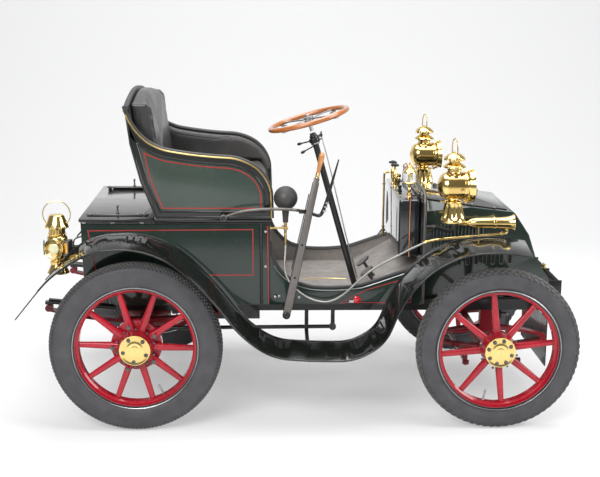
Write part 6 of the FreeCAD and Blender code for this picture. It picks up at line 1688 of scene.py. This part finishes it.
def tapered(low, high, low_half, high_half, thick, ease):
    """A flat bar that narrows upwards, with its thickness along Y."""
    middle = (low + high) / 2
    ends = [low - lever_across * low_half, low + lever_across * low_half,
            middle + lever_across * (low_half + high_half) / 2, high + lever_across * high_half,
            high - lever_across * high_half, middle - lever_across * (low_half + high_half) / 2]
    bm = plate([p + Y * thick / 2 for p in ends], thick, ease)
    bmesh.ops.translate(bm, vec=(0, low.y - sum(v.co.y for v in bm.verts) / len(bm.verts), 0),
                        verts=bm.verts)
    return bm


blade = tapered(LEVER_FOOT - lever_way * 0.004, LEVER_TOP, 0.0175, 0.0120, 0.0085, 0.0012)
parts = [blade]
for half in (-1, 1):
    low = LEVER_FOOT + lever_across * half * 0.0172 + lever_way * 0.03
    high = LEVER_TOP + lever_across * half * 0.0119 - lever_way * 0.02
    parts.append((bar([low, (low + high) / 2, high], 0.0028, 2), 1))
pivot = Vector((LEVER_FOOT.x, -0.496, LEVER_FOOT.z))
parts += [(turned([(0, 0), (11, 0), (13, 2), (13, 176), (0, 176)], pivot, Y, 28), 1),
          (turned([(0, -3), (9, -3), (15, -1), (17.5, 3), (17.5, 7), (0, 7)], pivot + Y * 0.002, Y,
                  32), 1), (hexagon(pivot - Y * 0.001, -Y, 0.009, 0.007), 1)]
for share in (0.28, 0.52):
    parts.append((stud(LEVER_FOOT.lerp(LEVER_TOP, share) - Y * 0.0042, -Y, 0.0055, 0.003, 14), 1))
trigger = [LEVER_TOP - lever_way * 0.075 + lever_across * 0.019,
           LEVER_TOP - lever_way * 0.20 + lever_across * 0.020,
           LEVER_TOP - lever_way * 0.42 + lever_across * 0.022]
parts.append((bar(trigger, 0.0022, 2), 1))
piece("brake_lever_forged", parts, [worn_steel, frame_black], 40.0, ("brake_lever",))
grip_low, grip_top = Vector((0.0668, -0.486, 1.1142)), Vector((0.0901, -0.486, 1.2262))
grip_way, full = (grip_top - grip_low).normalized(), (grip_top - grip_low).length * 1000
ferrule = [(0, 0), (9.5, 0), (9.5, 2), (8.6, 4), (8.4, 20), (9.4, 21), (9.4, 24), (0, 24)]
turning = [(0, 22), (7.6, 22), (7.8, 30), (8.6, 42), (10, 58), (11.8, 76), (12.9, 90), (12.6, 100),
           (10.6, 108), (7, 113), (3, full - 0.2), (0, full)]
grip = joined((turned(ferrule, grip_low, grip_way, 28), 1),
              (turned(turning, grip_low, grip_way, 40), 0))
piece("brake_grip_turned", grip, [grip_wood, brass], 50.0, ("brake_grip",))

ROD_Y = -0.466
rod_line = ((-0.3423, 0.9348), (-0.300, 0.951), (-0.2526, 0.9650), (-0.170, 0.9730),
            (-0.060, 0.9735), (0.020, 0.9640), (0.066, 0.9450), (0.0850, 0.9440), (0.0960, 0.9650),
            (0.1107, 1.0060), (0.1360, 1.0980), (0.1617, 1.1925))
rod = bar([(x, ROD_Y, z) for x, z in rod_line], 0.0068, 3, detail=6, sides=12,
          radii=[0.8, 0.9, 1, 1, 1, 1, 1.1, 1.2, 1.2, 1.15, 0.9, 0.45])
for face in rod.faces:
    face.material_index = 1 if face.calc_center_median().x > -0.02 else 0
parts = [rod]
parts += [turned([(0, -13), (9, -13), (14, -10), (14.4, -4), (14.4, 8), (9, 12), (9, 40), (0, 40)],
                 (-0.3393, ROD_Y, 0.9348), Y, 32),
          (hexagon((-0.3393, ROD_Y - 0.013, 0.9348), -Y, 0.0085, 0.004), 1)]
for share in (0.1, 0.5, 0.9):
    at = Vector((0.0975, ROD_Y, 0.962)).lerp(Vector((0.1120, ROD_Y, 1.006)), share)
    parts += [(turned([(0, -9.5), (4.4, -9.5), (4.8, -8), (4.8, 8), (4.4, 9.5), (0, 9.5)], at, Y,
                      14), 2), (hexagon(at + X * 0.007, X, 0.0048, 0.0035), 2)]
parts.append((block((-0.010, ROD_Y - 0.010, 0.9545), (0.052, ROD_Y - 0.0035, 0.972), 0.002, 2), 1))
piece("gear_rod_forged", parts, [worn_steel, frame_black, steel], 45.0, ("shift_rod",))

painted("pedals", dark_steel)
print("levers and pedals dressed")

# %% [markdown]
# Each wing is one long strip of sheet, wheel to step to wheel. Its edge is rolled over a wire
# to stiffen it, so a round bead runs along both sides. Towards the tail the sheet loses
# its outward tilt, as it does on the real car, where the tail is seen edge-on.

# %% Wings
WING_MIDDLE, WING_HALF, WING_TILT = 0.550, 0.100, 0.015
TAIL_START, TAIL_BLEND = -0.93, 0.17
TAIL_UP = Vector((-0.749, 0.0, 0.663))


def untwisted(co, side):
    """A wing's point with the sheet's outward tilt taken out towards the tail."""
    share = min(1.0, max(0.0, (TAIL_START - co.x) / TAIL_BLEND))
    share = share * share * (3 - 2 * share)
    out = (co.y * side - WING_MIDDLE) / WING_HALF
    return co + TAIL_UP * (WING_TILT * out * share)


for word, side in SIDES.items():
    node = f"wing_{word}"
    strip = cast_copy(node)
    for vert in strip.verts:
        vert.co = untwisted(vert.co, side)
    bevelled(strip, sharp_edges(strip, 40), 0.0012, 2, True)
    piece(f"{node}_pressed", outward(strip), wing_black, 30.0, (node,))
    beads = []
    for way in (side, -side):
        rim = face_outline(node, (0, way, 0))
        tail, nose = min(rim, key=lambda p: p.x), max(rim, key=lambda p: p.x)
        edge = [untwisted(p, side) for p in upper_run(rim, tail, nose)][1:-1]
        shift = Vector((0, -way * 0.0044, -0.0018))
        beads.append(bar([p + shift for p in edge], 0.0040, 3, detail=2, sides=8))
    piece(f"{node}_beads", beads, wing_black, 60.0)
painted("wing_stays", frame_black)
print("wings pressed")

# %% [markdown]
# Below the body the frame is black, and the springs, axles and steering are the red of the
# wheels under years of oil. Engine and gearbox are bare castings. These solids already have
# the right shape, so they keep it and take the finish of the real part. The rods that
# run forward from the rear axle are black.

# %% Undercarriage
oily_red = coach_paint("oily_red", (0.20, 0.010, 0.016), (0.10, 0.008, 0.010), 0.34, 0.35)
RED_PARTS = ("front_springs", "rear_springs", "front_axle", "rear_axle", "knuckle_right",
             "knuckle_left", "track_rod")
UNDER = {frame_black: ("chassis_frame", "front_plate"), cast_iron: ("engine", "gearbox"),
         dark_steel: ("starting_handle",), oily_red: RED_PARTS}
for finish, names in UNDER.items():
    for node in names:
        painted(node, finish)
RODS_START = -0.60
axle = nodes["rear_axle"].data
axle.materials.append(frame_black)
for face in axle.polygons:
    if face.center.x > RODS_START:
        face.material_index = len(axle.materials) - 1
print("solids painted:", sum(len(names) for names in UNDER.values()))

# %% [markdown]
# Last come the two boxes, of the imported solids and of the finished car, which must agree,
# and the table that says which body every piece rides on.

# %% Sizes and finish
visual_box = [list(corner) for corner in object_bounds()]
print("grown by", [[round(v - c, 4) for v, c in zip(*pair)] for pair in zip(visual_box, solid_box)])
